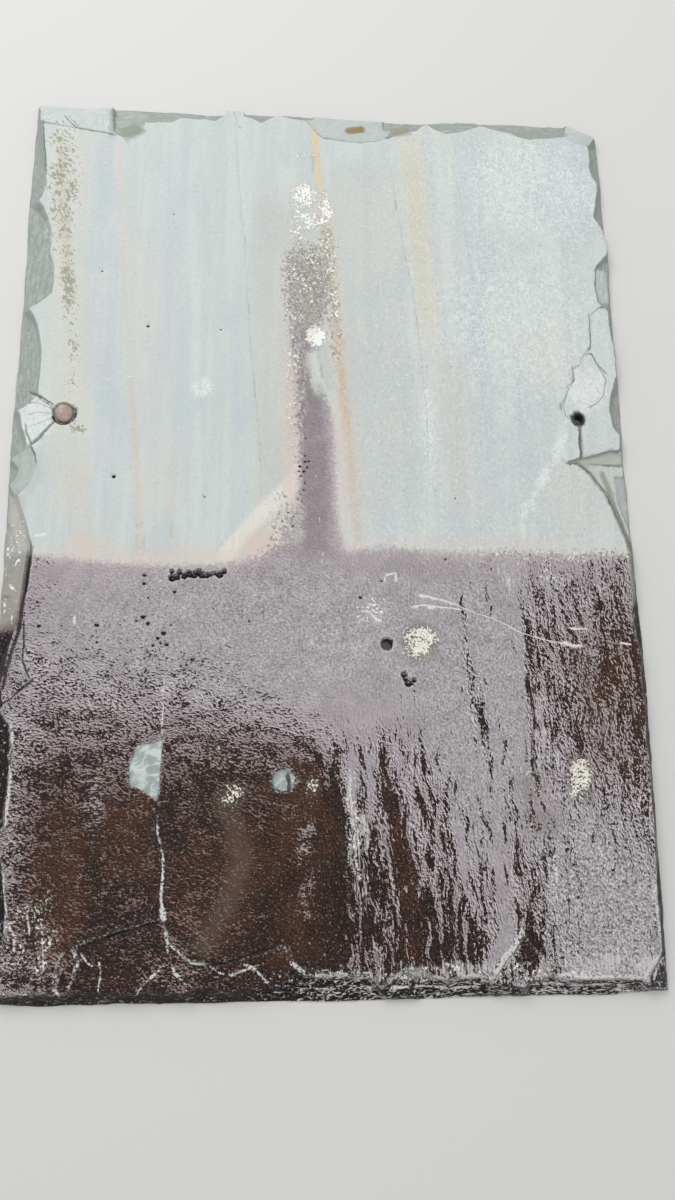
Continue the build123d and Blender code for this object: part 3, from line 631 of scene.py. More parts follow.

# Tints laid over the finished face and edge, in the same form: stains, and painted shade round the nail, in
# the right hole and down the right edge
TINTS = {
    "joint_stripe": ("827577", 0.5, 4.5, 3.5, [(-11, 104), (-10.5, 84), (-9, 60), (-6, 25), (-4.5, 0),
        (-5, -30)]),
    "tongue": ("DADDD4", 0.92, 2.6, 1.3, [(-7, 82), (-6, 75), (-4.5, 66), (-1.5, 57)]),
    "tongue_tip": ("B3B5AE", 0.6, 1.0, 1.2, [(-2.5, 62), (-0.5, 54), (0, 50)]),
    "nail_shadow": ("332B27", 0.96, 0.55, 0.6, [(-131.9, 43), (-130, 40.9), (-127, 40), (-124, 40.8),
        (-122, 42.8), (-121.3, 45.5), (-121.7, 47.8)]),
    "hole_shade": ("262321", 0.96, 3.3, 0.7, [(127, 46.6), (126.9, 47.6)]),
    "left_scar_mid": ("C2C9C5", 0.55, 3.5, 2.5, [(-141, 24), (-140.5, 12), (-144, 4)]),
    "left_scar_low": ("CBC6BD", 0.6, 3, 2.5, [(-146, 4), (-145.5, -12), (-145, -26)]),
    "left_scar_foot": ("A39690", 0.65, 4, 3, [(-145, -24), (-146, -42), (-147, -64)]),
    "left_scar_side": ("4E3B32", 0.8, 0.4, 1.0, [(-138.2, -28), (-138.8, -34), (-139.6, -44), (-141.5, -62)]),
    "joint_mouth": ("9F9D93", 0.6, 5, 6, [(-9, 138), (-9, 118), (-8, 98)]),
    "scar_right_mid": ("D3D9D5", 0.75, 2.4, 2.0, [(145, 134), (145, 124), (146, 113)]),
    "olive_triangle": ("B4B7A9", 0.8, 2.2, 1.2, [(128, 24.5), (138, 26.5), (150, 27)]),
    "olive_band": ("9DA08D", 0.85, 1.0, 0.9, [(125, 23.5), (130, 19.5), (134, 13), (138, 8), (141, 0),
        (144, -8), (147, -16), (149, -26)]),
    "olive_band_right": ("9C9D89", 0.85, 1.0, 0.9, [(138, 19), (141, 10), (143, 0), (146, -10), (148, -20)]),
    # Painted shade down the ragged right edge
    "right_edge_shade": ("2F2521", 0.85, 1.3, 0.9, [(149.9, -50), (149.8, -100), (149.8, -145), (148.8, -172),
        (148.4, -200), (148.6, -215)]),
    "olive_edge": ("85836A", 0.7, 1.6, 1.2, [(148.5, -18), (149, -30), (148.5, -46)]),
    "facet": ("C6CED0", 0.5, 5, 3, [(-141, 215), (-128, 214), (-114, 212)]),
    "facet_side": ("AFB7B1", 0.85, 0.8, 1.2, [(-111, 204), (-111.5, 212), (-112, 220)]),
    "olive_flake": ("979D90", 0.8, 4.5, 2.0, [(-106, 205), (-100, 208), (-96, 211)]),
    "olive_head": ("A39E8B", 0.8, 3.5, 2.0, [(37, 213), (47, 215)]),
    "brown_lump": ("96804F", 0.95, 1.9, 0.9, [(14.5, 213.5), (20.5, 215)]),
    "olive_head_right": ("A5A69C", 0.6, 1.6, 1.2, [(102, 215), (112, 213), (122, 214.5), (131, 216)]),
    "haze": ("7F6C60", 0.32, 1.5, 6, [(-50, -134), (-42, -150), (-38, -166), (-44, -183), (-52, -197),
        (-58, -207)]),
    "tail_chip": ("9B948A", 0.95, 2.2, 0.9, [(35, -214), (39.5, -213.5)]),
    "brown_smear": ("6A4A38", 0.22, 1, 9, [(121, -70), (124, -100), (128, -128)]),
}

# Fields that are the strongest of some patches
PATCH_FIELDS = {
    "brown": BROWN_PATCHES,
    "lime": LIME_PATCHES,
    "grime": GRIME_PATCHES,
    "lichen": LICHEN_PATCHES,
    "drips": DRIP_PATCHES,
    "grain": GRAIN_PATCHES,
    "warm": WARM_PATCHES,
    "scuff": SCUFF_PATCHES,
    "fuzz": BORDER_FUZZ,
}


# Mesh of the slate

def read_shape():
    """The frame's slate: a tree to measure its height, its outline and holes, its sharp edges and arrises."""
    mesh = slate_node.data
    corners = np.zeros(len(mesh.vertices) * 3, np.float32)
    mesh.vertices.foreach_get("co", corners)
    corners = np.round(corners.reshape(-1, 3).astype(float) / MM, 3)
    places, index = np.unique(corners, axis=0, return_inverse=True)
    index = index.reshape(-1)
    faces = [[int(index[v]) for v in polygon.vertices] for polygon in mesh.polygons]
    faces = [face for face in faces if len(set(face)) == 3]
    tree = BVHTree.FromPolygons([Vector(p) for p in places], faces)
    faces = np.array(faces)
    a, b, c = (places[faces[:, n]] for n in range(3))
    normals = np.cross(b - a, c - a)
    normals /= np.maximum(np.linalg.norm(normals, axis=1), 1e-12)[:, None]
    edge_faces = {}
    for number, face in enumerate(faces):
        for start, end in zip(face, np.roll(face, -1)):
            edge_faces.setdefault((min(start, end), max(start, end)), []).append(number)
    bed_edges = []
    sharp = []
    for (start, end), pair in edge_faces.items():
        if len(pair) != 2:
            continue
        first, second = normals[pair[0]], normals[pair[1]]
        turn = math.degrees(math.acos(max(-1.0, min(1.0, float(first @ second)))))
        if turn < ARRIS_TURN:
            continue
        down = (first[2] < ON_BED) + (second[2] < ON_BED)
        if down == 1:
            bed_edges.append((int(start), int(end)))
        if down == 0 and max(first[2], second[2]) > LOOKS_UP:
            sharp.append((places[start], places[end]))
    arrises = [(a[:2], b[:2]) for a, b in sharp if min(a[2], b[2]) > THICKNESS - ARRIS_DEPTH]
    sharp = [(a[:2], b[:2]) for a, b in sharp]
    return {"tree": tree, "loops": chain(bed_edges, places), "sharp": sharp, "arrises": arrises}


def chain(edges, places):
    """Loops of points from loose edges, the widest first."""
    after = {}
    for start, end in edges:
        after.setdefault(start, []).append(end)
        after.setdefault(end, []).append(start)
    loops = []
    while after:
        start = next(iter(after))
        loop = [start]
        here = after.pop(start)[0]
        before = start
        while here != start:
            loop.append(here)
            options = after.pop(here)
            before, here = here, options[0] if options[0] != before else options[1]
        loops.append(places[loop][:, :2])
    loops.sort(key=lambda loop: -float(np.ptp(loop[:, 0])))
    return loops


def spaced(loop, step):
    """A closed loop of points at even spacing that keeps the loop's own corners."""
    out = []
    for start, end in zip(loop, np.roll(loop, -1, axis=0)):
        count = max(1, round(float(np.linalg.norm(end - start)) / step))
        out.extend(start + (end - start) * n / count for n in range(count))
    return np.array(out)


def counter_clockwise(loop):
    """The loop, turned round if it runs clockwise."""
    x, y = loop[:, 0], loop[:, 1]
    area = float(np.sum(x * np.roll(y, -1) - np.roll(x, -1) * y))
    return loop if area > 0 else loop[::-1]


def triangulate(points, loops):
    """Triangles between the outline and the holes. Returns places, triangles and the rim's numbers."""
    edges = []
    start = 0
    for loop in loops:
        edges.extend((start + n, start + (n + 1) % len(loop)) for n in range(len(loop)))
        start += len(loop)
    rim = np.concatenate(loops)
    vectors = [Vector(p) for p in np.concatenate([rim, points])]
    places, _, triangles, origin, _, _ = geometry.delaunay_2d_cdt(vectors, edges, [], 0, 1e-6)
    places = np.array([tuple(p) for p in places])
    triangles = np.array([t for t in triangles if len(t) == 3])
    centres = places[triangles].mean(axis=1)
    keep = within(centres, loops)
    a, b, c = (places[triangles[:, n]] for n in range(3))
    keep &= abs(np.cross(b - a, c - a)) > 1e-7
    rim_numbers = np.zeros(len(rim), int)
    for number, sources in enumerate(origin):
        for source in sources:
            if source < len(rim):
                rim_numbers[source] = number
    return places, triangles[keep], rim_numbers


def within(points, loops):
    """Which points lie in the stone: inside the outline and outside the holes."""
    result = inside(points, loops[0])
    for hole in loops[1:]:
        result &= ~inside(points, hole)
    return result


def inside(points, loop):
    """Which points lie inside a closed loop, by crossings."""
    result = np.zeros(len(points), bool)
    box_low, box_high = loop.min(0), loop.max(0)
    maybe = np.all((points >= box_low) & (points <= box_high), axis=1)
    x, y = points[maybe, 0], points[maybe, 1]
    crossings = np.zeros(len(x), bool)
    for (x0, y0), (x1, y1) in zip(loop, np.roll(loop, -1, axis=0)):
        if y0 == y1:
            continue
        crosses = (y0 > y) != (y1 > y)
        at = x0 + (y - y0) * (x1 - x0) / (y1 - y0)
        crossings ^= crosses & (x < at)
    result[maybe] = crossings
    return result


def nearest(points, others):
    """Distance from each point to the nearest of the others."""
    tree = kdtree.KDTree(len(others))
    for n, (x, y) in enumerate(others):
        tree.insert((x, y, 0), n)
    tree.balance()
    return np.array([tree.find((x, y, 0))[2] for x, y in points])


def clear_of(points, others, distance):
    """Which points keep at least this distance from all the others."""
    return nearest(points, others) > distance


def thinned(points, distance):
    """The points, less each that lies too near an earlier one."""
    cells = {}
    keep = []
    for n, (x, y) in enumerate(points):
        column, row = int(x // distance), int(y // distance)
        near = [
            m
            for dx in (-1, 0, 1)
            for dy in (-1, 0, 1)
            for m in cells.get((column + dx, row + dy), ())
        ]
        if all((points[m][0] - x) ** 2 + (points[m][1] - y) ** 2 > distance**2 for m in near):
            cells.setdefault((column, row), []).append(n)
            keep.append(n)
    return points[keep]


def rows_beside(segments, gaps, step):
    """Points in rows at these gaps to each side of the segments."""
    out = []
    for start, end in segments:
        leg = np.array(end) - np.array(start)
        length = float(np.linalg.norm(leg))
        if length < 0.05:
            continue
        side = np.array([-leg[1], leg[0]]) / length
        count = max(1, round(length / step))
        for n in range(count):
            middle = np.array(start) + leg * (n + 0.5) / count
            out.extend(middle + side * gap for gap in gaps)
    return np.array(out)


def jittered_grid(step, rng):
    """A grid of points over the slate, each moved a little at random."""
    xs = np.arange(-HALF_WIDTH, HALF_WIDTH, step)
    ys = np.arange(-HALF_LENGTH, HALF_LENGTH, step)
    points = np.stack(np.meshgrid(xs, ys), -1).reshape(-1, 2)
    return points + rng.uniform(-0.28, 0.28, points.shape) * step


def face_points(settings, shape, loops):
    """Points of the face: close in the margin and at the chips, wide elsewhere, in rows along each arris."""
    rng = np.random.default_rng(settings.seed)

    def is_busy(points):
        to_side = np.minimum(HALF_WIDTH - abs(points[:, 0]), HALF_LENGTH - abs(points[:, 1]))
        busy = to_side < settings.margin
        for centre, radius, _ in SPOTS.values():
            busy |= np.linalg.norm(points - np.array(centre), axis=1) < radius
        return busy

    close = jittered_grid(settings.close_step, rng)
    wide = jittered_grid(settings.open_step, rng)
    field = np.concatenate([close[is_busy(close)], wide[~is_busy(wide)]])
    rows = []
    for width, path in all_lines():
        reach = max(width / 2, 0.35)
        rows.append(rows_beside(zip(path, path[1:]), (0, -reach, reach), settings.arris_step))
    rows.append(rows_beside(shape["sharp"], (-ARRIS_ROUND, ARRIS_ROUND), settings.arris_step))
    for x, y, radius in SMALL_PITS:
        for reach, count in ((0, 1), (0.45 * radius, 6), (radius, 10)):
            angles = np.linspace(0, 2 * math.pi, count, endpoint=False)
            rows.append(np.column_stack([x + reach * np.cos(angles), y + reach * np.sin(angles)]))
    rows = thinned(np.concatenate(rows), ARRIS_ROUND)
    field = field[clear_of(field, rows, settings.arris_step * CLEAR_OF_ROWS)]
    points = np.concatenate([rows, field])
    points = points[clear_of(points, np.concatenate(loops), CLEAR_OF_OUTLINE)]
    return points[within(points, loops)]


def straying(path):
    """A path in short legs that stray a little to each side."""
    path = np.array(path, float)
    places = [path[:1]]
    for start, end in zip(path, path[1:]):
        shares = np.linspace(0, 1, max(1, round(float(np.linalg.norm(end - start)) / STRAY_LEG)) + 1)[1:]
        places.append(start + (end - start) * shares[:, None])
    places = np.concatenate(places)
    stray = [fractal(places, STRAY_SIZE, seed, 3, 0.7) for seed in (301, 302)]
    return places + np.stack(stray, axis=1) * STRAY_REACH


def all_lines():
    """Width and path of every crack, white line and scratch."""
    lines = [*HAIRLINES.values(), *WHITE_LINES.values(), *SCRATCHES.values()]
    return [(width, straying(path)) for width, _, path in lines]


def patch_distance(points, centre, half, lean):
    """Distance from a leaning patch's centre, as a share of its half sizes."""
    x = points[:, 0] - centre[0] - lean * (points[:, 1] - centre[1])
    return np.hypot(x / half[0], (points[:, 1] - centre[1]) / half[1])


def strongest(points, patches):
    """Amount of the strongest of these patches at each point, soft and uneven at their rims."""
    amount = np.zeros(len(points))
    uneven = 0.25 * fractal(points, 5, 91, 3)
    for centre, half, lean, strength in patches.values():
        away = patch_distance(points, centre, half, lean) + uneven
        amount = np.maximum(amount, strength * (1 - smooth(0.45, 1.3, away)))
    return amount


def bare_share(points):
    """Share of the face where the wet film has broken up and the stone is bare."""
    x, y = points[:, 0], points[:, 1]
    stations = np.array(list(BARE_SHARE))
    down = np.array([np.interp(-y, [-at for at, _ in steps], [share for _, share in steps])
                     for steps in BARE_SHARE.values()])
    right = np.clip(np.searchsorted(stations, x), 1, len(stations) - 1)
    mix = np.clip((x - stations[right - 1]) / (stations[right] - stations[right - 1]), 0, 1)
    columns = np.arange(len(points))
    share = down[right - 1, columns] * (1 - mix) + down[right, columns] * mix
    for centre, half, lean, change in FILM_PATCHES.values():
        away = patch_distance(points, centre, half, lean)
        share = share + change * (1 - smooth(0.5, 1.25, away))
    return np.clip(share, 0.002, 0.985)


def above_weather_line(points):
    """How far each point lies inside the part that the course above kept covered."""
    x, y = points[:, 0], points[:, 1]
    line = np.interp(x, *zip(*WEATHER_LINE))
    left = np.interp(y, *zip(*JOINT_LEFT))
    right = np.interp(y, *zip(*JOINT_RIGHT))
    in_joint = np.minimum(np.minimum(x - left, right - x), (JOINT_TOP - y) * 0.4)
    return np.minimum(y - line, -in_joint)


def line_amount(points, lines, broken=0.0):
    """How far each point lies on one of these lines, thinner at their ends, and fainter here and there."""
    amount = np.zeros(len(points))
    faint = 1 - broken * smooth(0.15, -0.35, fractal(points, 4, 303, 3))
    for width, strength, path in lines.values():
        distance, share = along(points, straying(path))
        ends = strength * faint * (0.35 + 0.65 * smooth(0, 0.1, share) * smooth(1, 0.9, share))
        amount = np.maximum(amount, ends * (1 - smooth(0.0, 0.8, abs(distance) / max(width, 0.45))))
    return amount


# The film is whole where its noise is above film_edge. That noise is bell-shaped about a half, so a share of
# bare stone becomes a level through its log-odds: this much for each unit, and more where it runs in streaks
FILM_SPREAD = 0.037
STREAK_SPREAD = 0.013


def weather_fields(points, depth, slope, facing, riser, rim):
    """What the weather and the knife did to each point, and where shade and highlights are painted, as
    numbers that the finish reads.
    """
    share = bare_share(points)
    above = above_weather_line(points)

    # From the ripples of the left to the runs of the right, and the same with fewer streaks at the far right
    runs_down = smooth(*TO_RUNS, points[:, 0] - 0.1 * (points[:, 1] + 150))
    streaky = runs_down * (1 - 0.65 * smooth(92, 108, points[:, 0]))
    fields = {
        "covered": above,
        "film_edge": 0.5 + (FILM_SPREAD + STREAK_SPREAD * streaky) * np.log(share / (1 - share)),
        "bare": share,
        "near_line": smooth(-9, 0, above) * smooth(-12, -22, points[:, 1]),
        "runs_down": runs_down,
        "streaky": streaky,
        "scar": smooth(*SCAR_SLOPES, slope),
        "wall": smooth(*WALL_SLOPES, slope),
        "to_tail": np.maximum(smooth(0.1, 0.35, -facing), points[:, 1] < TAIL + 1.2),
        "riser": riser,
        "rim": rim,
        "dark_line": line_amount(points, HAIRLINES),
        "white_line": line_amount(points, WHITE_LINES, 0.6),
        "scratch": line_amount(points, SCRATCHES, 0.3),
        "pit": np.zeros(len(points)),
        "fresh": np.zeros(len(points)),
        **{name: strongest(points, patches) for name, patches in PATCH_FIELDS.items()},
    }

    # The bloom is pink all along the line, and the line is a little frayed everywhere
    fields["warm"] = np.maximum(fields["warm"], 0.6 * smooth(7, 1, abs(above)))
    fields["fuzz"] = 1.3 + fields["fuzz"]
    add_pits(fields, points, depth, facing)
    return fields


def add_pits(fields, points, depth, facing):
    """Mark the painted shade of the pits and holes and the fresh chips of the frame, and the painted shade of
    the small pits, in their fields.
    """
    # Painted shade: in a wet pit the wall towards the tail looks to the dark ground, the rest still to the
    # sky
    dark_wall = smooth(-0.15, 0.3, facing)
    amounts = {
        "pit": np.maximum(dark_wall, 0.35) * smooth(0.15, 0.5, depth),
        "hole": np.maximum(dark_wall, 0.15) * smooth(0.5, 1.2, depth),
        "fresh": smooth(0.15, 0.6, depth),
    }
    for centre, radius, kind in SPOTS.values():
        near = np.linalg.norm(points - np.array(centre), axis=1) < radius
        name = "fresh" if kind == "fresh" else "pit"
        fields[name] = np.maximum(fields[name], near * amounts[kind])
    uneven = 0.3 * fractal(points, 1.6, 95, 2)
    for x, y, radius in SMALL_PITS:
        away = np.hypot(points[:, 0] - x, points[:, 1] - y) / radius + uneven
        # A small pit's painted shade is darkest on its side towards the tail
        low_side = smooth(0.5, -0.3, (points[:, 1] - y) / radius)
        fields["pit"] = np.maximum(fields["pit"], (1 - smooth(0.4, 1.0, away)) * (0.25 + 0.75 * low_side))


def stain_layer(points, stains):
    """Colour and strength of the stains, laid one over the other."""
    colour = np.zeros((len(points), 3))
    strength = np.zeros(len(points))
    for tint, amount, half, soft, path in stains.values():
        distance, share = along(points, path)
        ends = smooth(0, 0.08, share) * smooth(1, 0.92, share) if soft > 1.2 else 1.0
        here = amount * (1 - smooth(half, half + soft, abs(distance))) * ends
        colour = colour * (1 - here[:, None]) + np.array(linear(tint)[:3]) * here[:, None]
        strength = strength * (1 - here) + here
    colour /= np.maximum(strength, 1e-4)[:, None]
    return np.concatenate([colour, strength[:, None]], axis=1)


def linear(tint):
    """sRGB hex to linear RGBA."""
    channels = [int(tint[n : n + 2], 16) / 255 for n in (0, 2, 4)]
    return (*(c / 12.92 if c <= 0.04045 else ((c + 0.055) / 1.055) ** 2.4 for c in channels), 1.0)


def terraces(points, height, slope, settings, scar):
    """Leaves of stone that end one above the other in each scar: depth below its plane, and their edges."""
    uneven = 0.9 * fractal(points, LEAF_SIZE, settings.seed + 12, 3, stretch=(1, 0.6))
    leaf = settings.leaf_step * (1 + 2.5 * smooth(0.5, 0.9, slope))
    share = np.mod(height / leaf + uneven, 1.0)
    depth = settings.leaf_step * np.maximum(share - smooth(0.6, 1.0, share), 0) * scar * 0.8
    return depth, scar * smooth(0.55, 0.7, share) * smooth(1.0, 0.9, share)


def relief(points, settings, scar):
    """Depth below the frame's face: cleavage waves, ripples, rough breaks, cracks and pits."""
    waves = unit_fractal(points, WAVE_SIZE, settings.seed, 2, stretch=(1, 0.55))
    swells = unit_fractal(points, SWELL_SIZE, settings.seed + 3, 3, stretch=(1, 0.6))
    depth = settings.riven_depth * (0.5 * waves + 0.3 * swells)
    opened = bare_share(points) * smooth(-25, -40, points[:, 1])
    runs = smooth(*TO_RUNS, points[:, 0])
    across = fractal(points, RIPPLE_SIZE, settings.seed + 5, 2, stretch=(0.7, 1.6))
    down = fractal(points, RIPPLE_SIZE, settings.seed + 6, 3, stretch=(1.5, 0.4))
    depth = depth + settings.ripple_depth * opened * (0.5 + 0.5 * (across * (1 - runs) + down * runs))
    rough = unit_fractal(points, BREAK_SIZE, settings.seed + 9, 4, 0.6)
    depth = depth + settings.break_depth * scar * rough

    # Thin shells burst in a fan round the nail, towards the near edge
    from_nail = points - np.array(NAIL)
    angle = np.arctan2(from_nail[:, 1], -from_nail[:, 0])
    reach = np.linalg.norm(from_nail, axis=1)
    fan = smooth(5.5, 7.5, reach) * smooth(26, 20, reach) * smooth(1.0, 0.7, abs(angle))
    depth = depth + FAN_DEPTH * fan * (0.5 + 0.5 * np.sin(2.4 * reach + 9 * angle + 4 * rough))
    for width, strength, path in HAIRLINES.values():
        distance, _ = along(points, straying(path))
        depth = depth + CRACK_DEPTH * strength * (1 - smooth(0.0, 0.5, abs(distance) / width))
    for x, y, radius in SMALL_PITS:
        away = np.hypot(points[:, 0] - x, points[:, 1] - y) / radius
        depth = depth + PIT_DEPTH_SHARE * radius * (1 - smooth(0.2, 1.0, away))
    return depth


def wander(points, settings):
    """Sideways shift that makes the arrises and the outline ragged, none at the holes."""
    turns = [fractal(points, TOOTH_SIZE, settings.seed + seed, 4, 0.65) for seed in (31, 47)]
    shift = np.stack(turns, axis=1) * (settings.ragged * 1.4)
    for hole in (RIGHT_HOLE, THIRD_HOLE, NAIL):
        away = np.linalg.norm(points - np.array(hole), axis=1)
        shift *= smooth(5, 12, away)[:, None]
    return shift


def inward(loop, is_hole):
    """Unit directions into the stone at each point of a loop."""
    chord = np.roll(loop, -1, axis=0) - np.roll(loop, 1, axis=0)
    out = np.stack([-chord[:, 1], chord[:, 0]], 1)
    out /= np.linalg.norm(out, axis=1)[:, None]
    return -out if is_hole else out


def measure(tree, points, reach):
    """Height of the frame's slate, the sine of its slope and how it leans to the head, over a small reach."""
    heights = np.full((5, len(points)), np.nan)
    down = Vector((0, 0, -1))
    probes = ((0, 0), (reach, 0), (-reach, 0), (0, reach), (0, -reach))
    for row, (dx, dy) in zip(heights, probes):
        for n, (x, y) in enumerate(points):
            place = tree.ray_cast(Vector((x + dx, y + dy, RAY_START)), down)[0]
            if place is not None and place.z > RAY_MISSED:
                row[n] = place.z
    middle = np.where(np.isnan(heights[0]), np.nanmax(heights, axis=0), heights[0])
    heights = np.where(np.isnan(heights), middle, heights)
    rise_x = (heights[1] - heights[2]) / (2 * reach)
    rise_y = (heights[3] - heights[4]) / (2 * reach)
    slant = np.sqrt(1 + rise_x**2 + rise_y**2)
    return np.stack([heights.mean(axis=0), np.hypot(rise_x, rise_y) / slant, -rise_y / slant])


def near_arris(points, arrises):
    """How near each point lies to an arris of the face, from 0 to 1."""
    return 1 - smooth(0.2, 0.9, nearest(points, rows_beside(arrises, (0,), 0.4)))


def add_object(name, vertices, faces):
    """A new object in the scene from points and faces."""
    mesh = bpy.data.meshes.new(name)
    mesh.from_pydata(np.array(vertices).tolist(), [], faces)
    mesh.update()
    piece = bpy.data.objects.new(name, mesh)
    bpy.context.scene.collection.objects.link(piece)
    return piece


def side_walls(face, bed, rings, face_rim, bed_rim, settings):
    """Rows of points down the sides and the holes, with the laminae stepped in and out, and their faces."""
    sheets = []
    faces = []
    following = len(face) + len(bed)
    for number, ring in enumerate(rings):
        upper, lower = face[face_rim[ring]], bed[bed_rim[ring]]
        into = inward(upper[:, :2], number > 0)
        rows = [face_rim[ring]]
        for level in WALL_LEVELS:
            row = lower + (upper - lower) * level
            bite = unit_fractal(row[:, :2] + 37 * level, LAMINA_SIZE, settings.seed + 70, 2)
            row[:, :2] += into * (settings.lamina_depth * bite * (number == 0))[:, None]
            sheets.append(row)
            rows.append(np.arange(following, following + len(ring)))
            following += len(ring)
        rows.append(bed_rim[ring] + len(face))
        for above, below in zip(rows, rows[1:]):
            quads = np.stack([below, np.roll(below, -1), np.roll(above, -1), above], axis=1)
            faces += (quads[:, ::-1] if number else quads).tolist()
    return sheets, faces


def write_fields(mesh, points, measured):
    """Keep the weather's fields, the stains and the tints on the mesh, where its material reads them."""
    for name, values in weather_fields(points, *measured).items():
        attribute = mesh.attributes.new(name, "FLOAT", "POINT")
        attribute.data.foreach_set("value", values.astype(np.float32))
    for name, stains in {"stain": STAINS, "tint": TINTS}.items():
        attribute = mesh.attributes.new(name, "FLOAT_COLOR", "POINT")
        attribute.data.foreach_set("color", stain_layer(points, stains).astype(np.float32).reshape(-1))


def build_slate_mesh(settings):
    """One closed mesh: the face read from the frame and weathered, laminated sides, and the bed."""
    shape = read_shape()
    loops = [counter_clockwise(spaced(loop, settings.arris_step)) for loop in shape["loops"]]
    face_xy, face_triangles, face_rim = triangulate(face_points(settings, shape, loops), loops)
    rng = np.random.default_rng(settings.seed + 1)
    bed_grid = jittered_grid(settings.back_step, rng)
    bed_grid = bed_grid[clear_of(bed_grid, np.concatenate(loops), BED_CLEAR_OF_OUTLINE)]
    bed_xy, bed_triangles, bed_rim = triangulate(bed_grid[within(bed_grid, loops)], loops)

    # A point of the rim is measured a hair inside the stone, so that the ray doesn't meet the side
    surface = measure(shape["tree"], face_xy, ARRIS_ROUND)
    rings = np.split(np.arange(len(face_rim)), np.cumsum([len(loop) for loop in loops])[:-1])
    for number, (ring, loop) in enumerate(zip(rings, loops)):
        inner = loop + inward(loop, number > 0) * RIM_INSET
        surface[:, face_rim[ring]] = measure(shape["tree"], inner, RIM_REACH)
    height, slope, facing = surface
    scar = smooth(*SCAR_SLOPES, slope)
    steps, riser = terraces(face_xy, height, slope, settings, scar)
    face_z = height - np.minimum(relief(face_xy, settings, scar) + steps, height * 0.5)
    bed_z = HOLLOW_DEPTH * smooth(-0.1, 0.8, fractal(bed_xy, HOLLOW_SIZE, settings.seed + 61, 4))
    limit = np.array([HALF_WIDTH, HALF_LENGTH])
    face = np.column_stack([np.clip(face_xy + wander(face_xy, settings), -limit, limit), face_z])
    bed = np.column_stack([np.clip(bed_xy + wander(bed_xy, settings), -limit, limit), bed_z])

    walls, wall_faces = side_walls(face, bed, rings, face_rim, bed_rim, settings)
    vertices = np.concatenate([face, bed, *walls])
    faces = face_triangles.tolist() + (bed_triangles[:, ::-1] + len(face)).tolist() + wall_faces
    piece = add_object("riven_slate", vertices * MM, faces)
    mesh = piece.data

    # What was measured on the face, each with its value for the sides and the bed
    beyond = np.arange(len(vertices)) >= len(face)
    on_face = (
        (THICKNESS - height, 0.0),
        (slope, 0.35),
        (facing, 0.0),
        (riser, 0.0),
        (near_arris(face_xy, shape["arrises"]), 0.0),
    )
    measured = [np.where(beyond, other, np.resize(values, len(vertices))) for values, other in on_face]
    write_fields(mesh, vertices[:, :2], measured)
    index = np.zeros(len(faces), np.int32)
    index[len(face_triangles) : len(face_triangles) + len(bed_triangles)] = 1
    mesh.polygons.foreach_set("material_index", index)
    mesh.polygons.foreach_set("use_smooth", np.ones(len(faces), bool))
    mesh.set_sharp_from_angle(angle=math.radians(SHARP_TURN))
    mesh.update()
    return piece


# Materials

NOISE = "ShaderNodeTexNoise"
MAPPING = "ShaderNodeMapping"
FIELD = "ShaderNodeAttribute"
RANGE = "ShaderNodeMapRange"
MATH = "ShaderNodeMath"
VECTOR = "ShaderNodeVectorMath"
MIX = "ShaderNodeMix"
BUMP = "ShaderNodeBump"
PRINCIPLED = "ShaderNodeBsdfPrincipled"
OUTPUT = "ShaderNodeOutputMaterial"

# Settings that nodes share
COLOUR = {"data_type": "RGBA", "out": 2}
SOFT = {"interpolation_type": "SMOOTHSTEP"}
TIMES = {"operation": "MULTIPLY"}
PLUS = {"operation": "ADD"}
MINUS = {"operation": "SUBTRACT"}
LARGER = {"operation": "MAXIMUM"}
TIMES_PLUS = {"operation": "MULTIPLY_ADD"}

# Sockets of the Mix node: how much of the second, the first and second number, the colour below and the one
# above
SHARE, FIRST, SECOND, UNDER, OVER = 0, 2, 3, 6, 7


def material_tree(name):
    """A new material, and a function that adds one node with its settings and links and returns an output."""
    material = bpy.data.materials.new(name)
    material.use_nodes = True
    tree = material.node_tree
    tree.nodes.clear()

    def add(kind, inputs=(), out=0, **settings):
        node = tree.nodes.new(kind)
        for key, value in settings.items():
            setattr(node, key, value)
        for key, value in inputs.items() if isinstance(inputs, dict) else enumerate(inputs):
            if isinstance(value, bpy.types.NodeSocket):
                tree.links.new(value, node.inputs[key])
            else:
                node.inputs[key].default_value = linear(value) if isinstance(value, str) else value
        return node.outputs[out] if len(node.outputs) else node

    return material, add
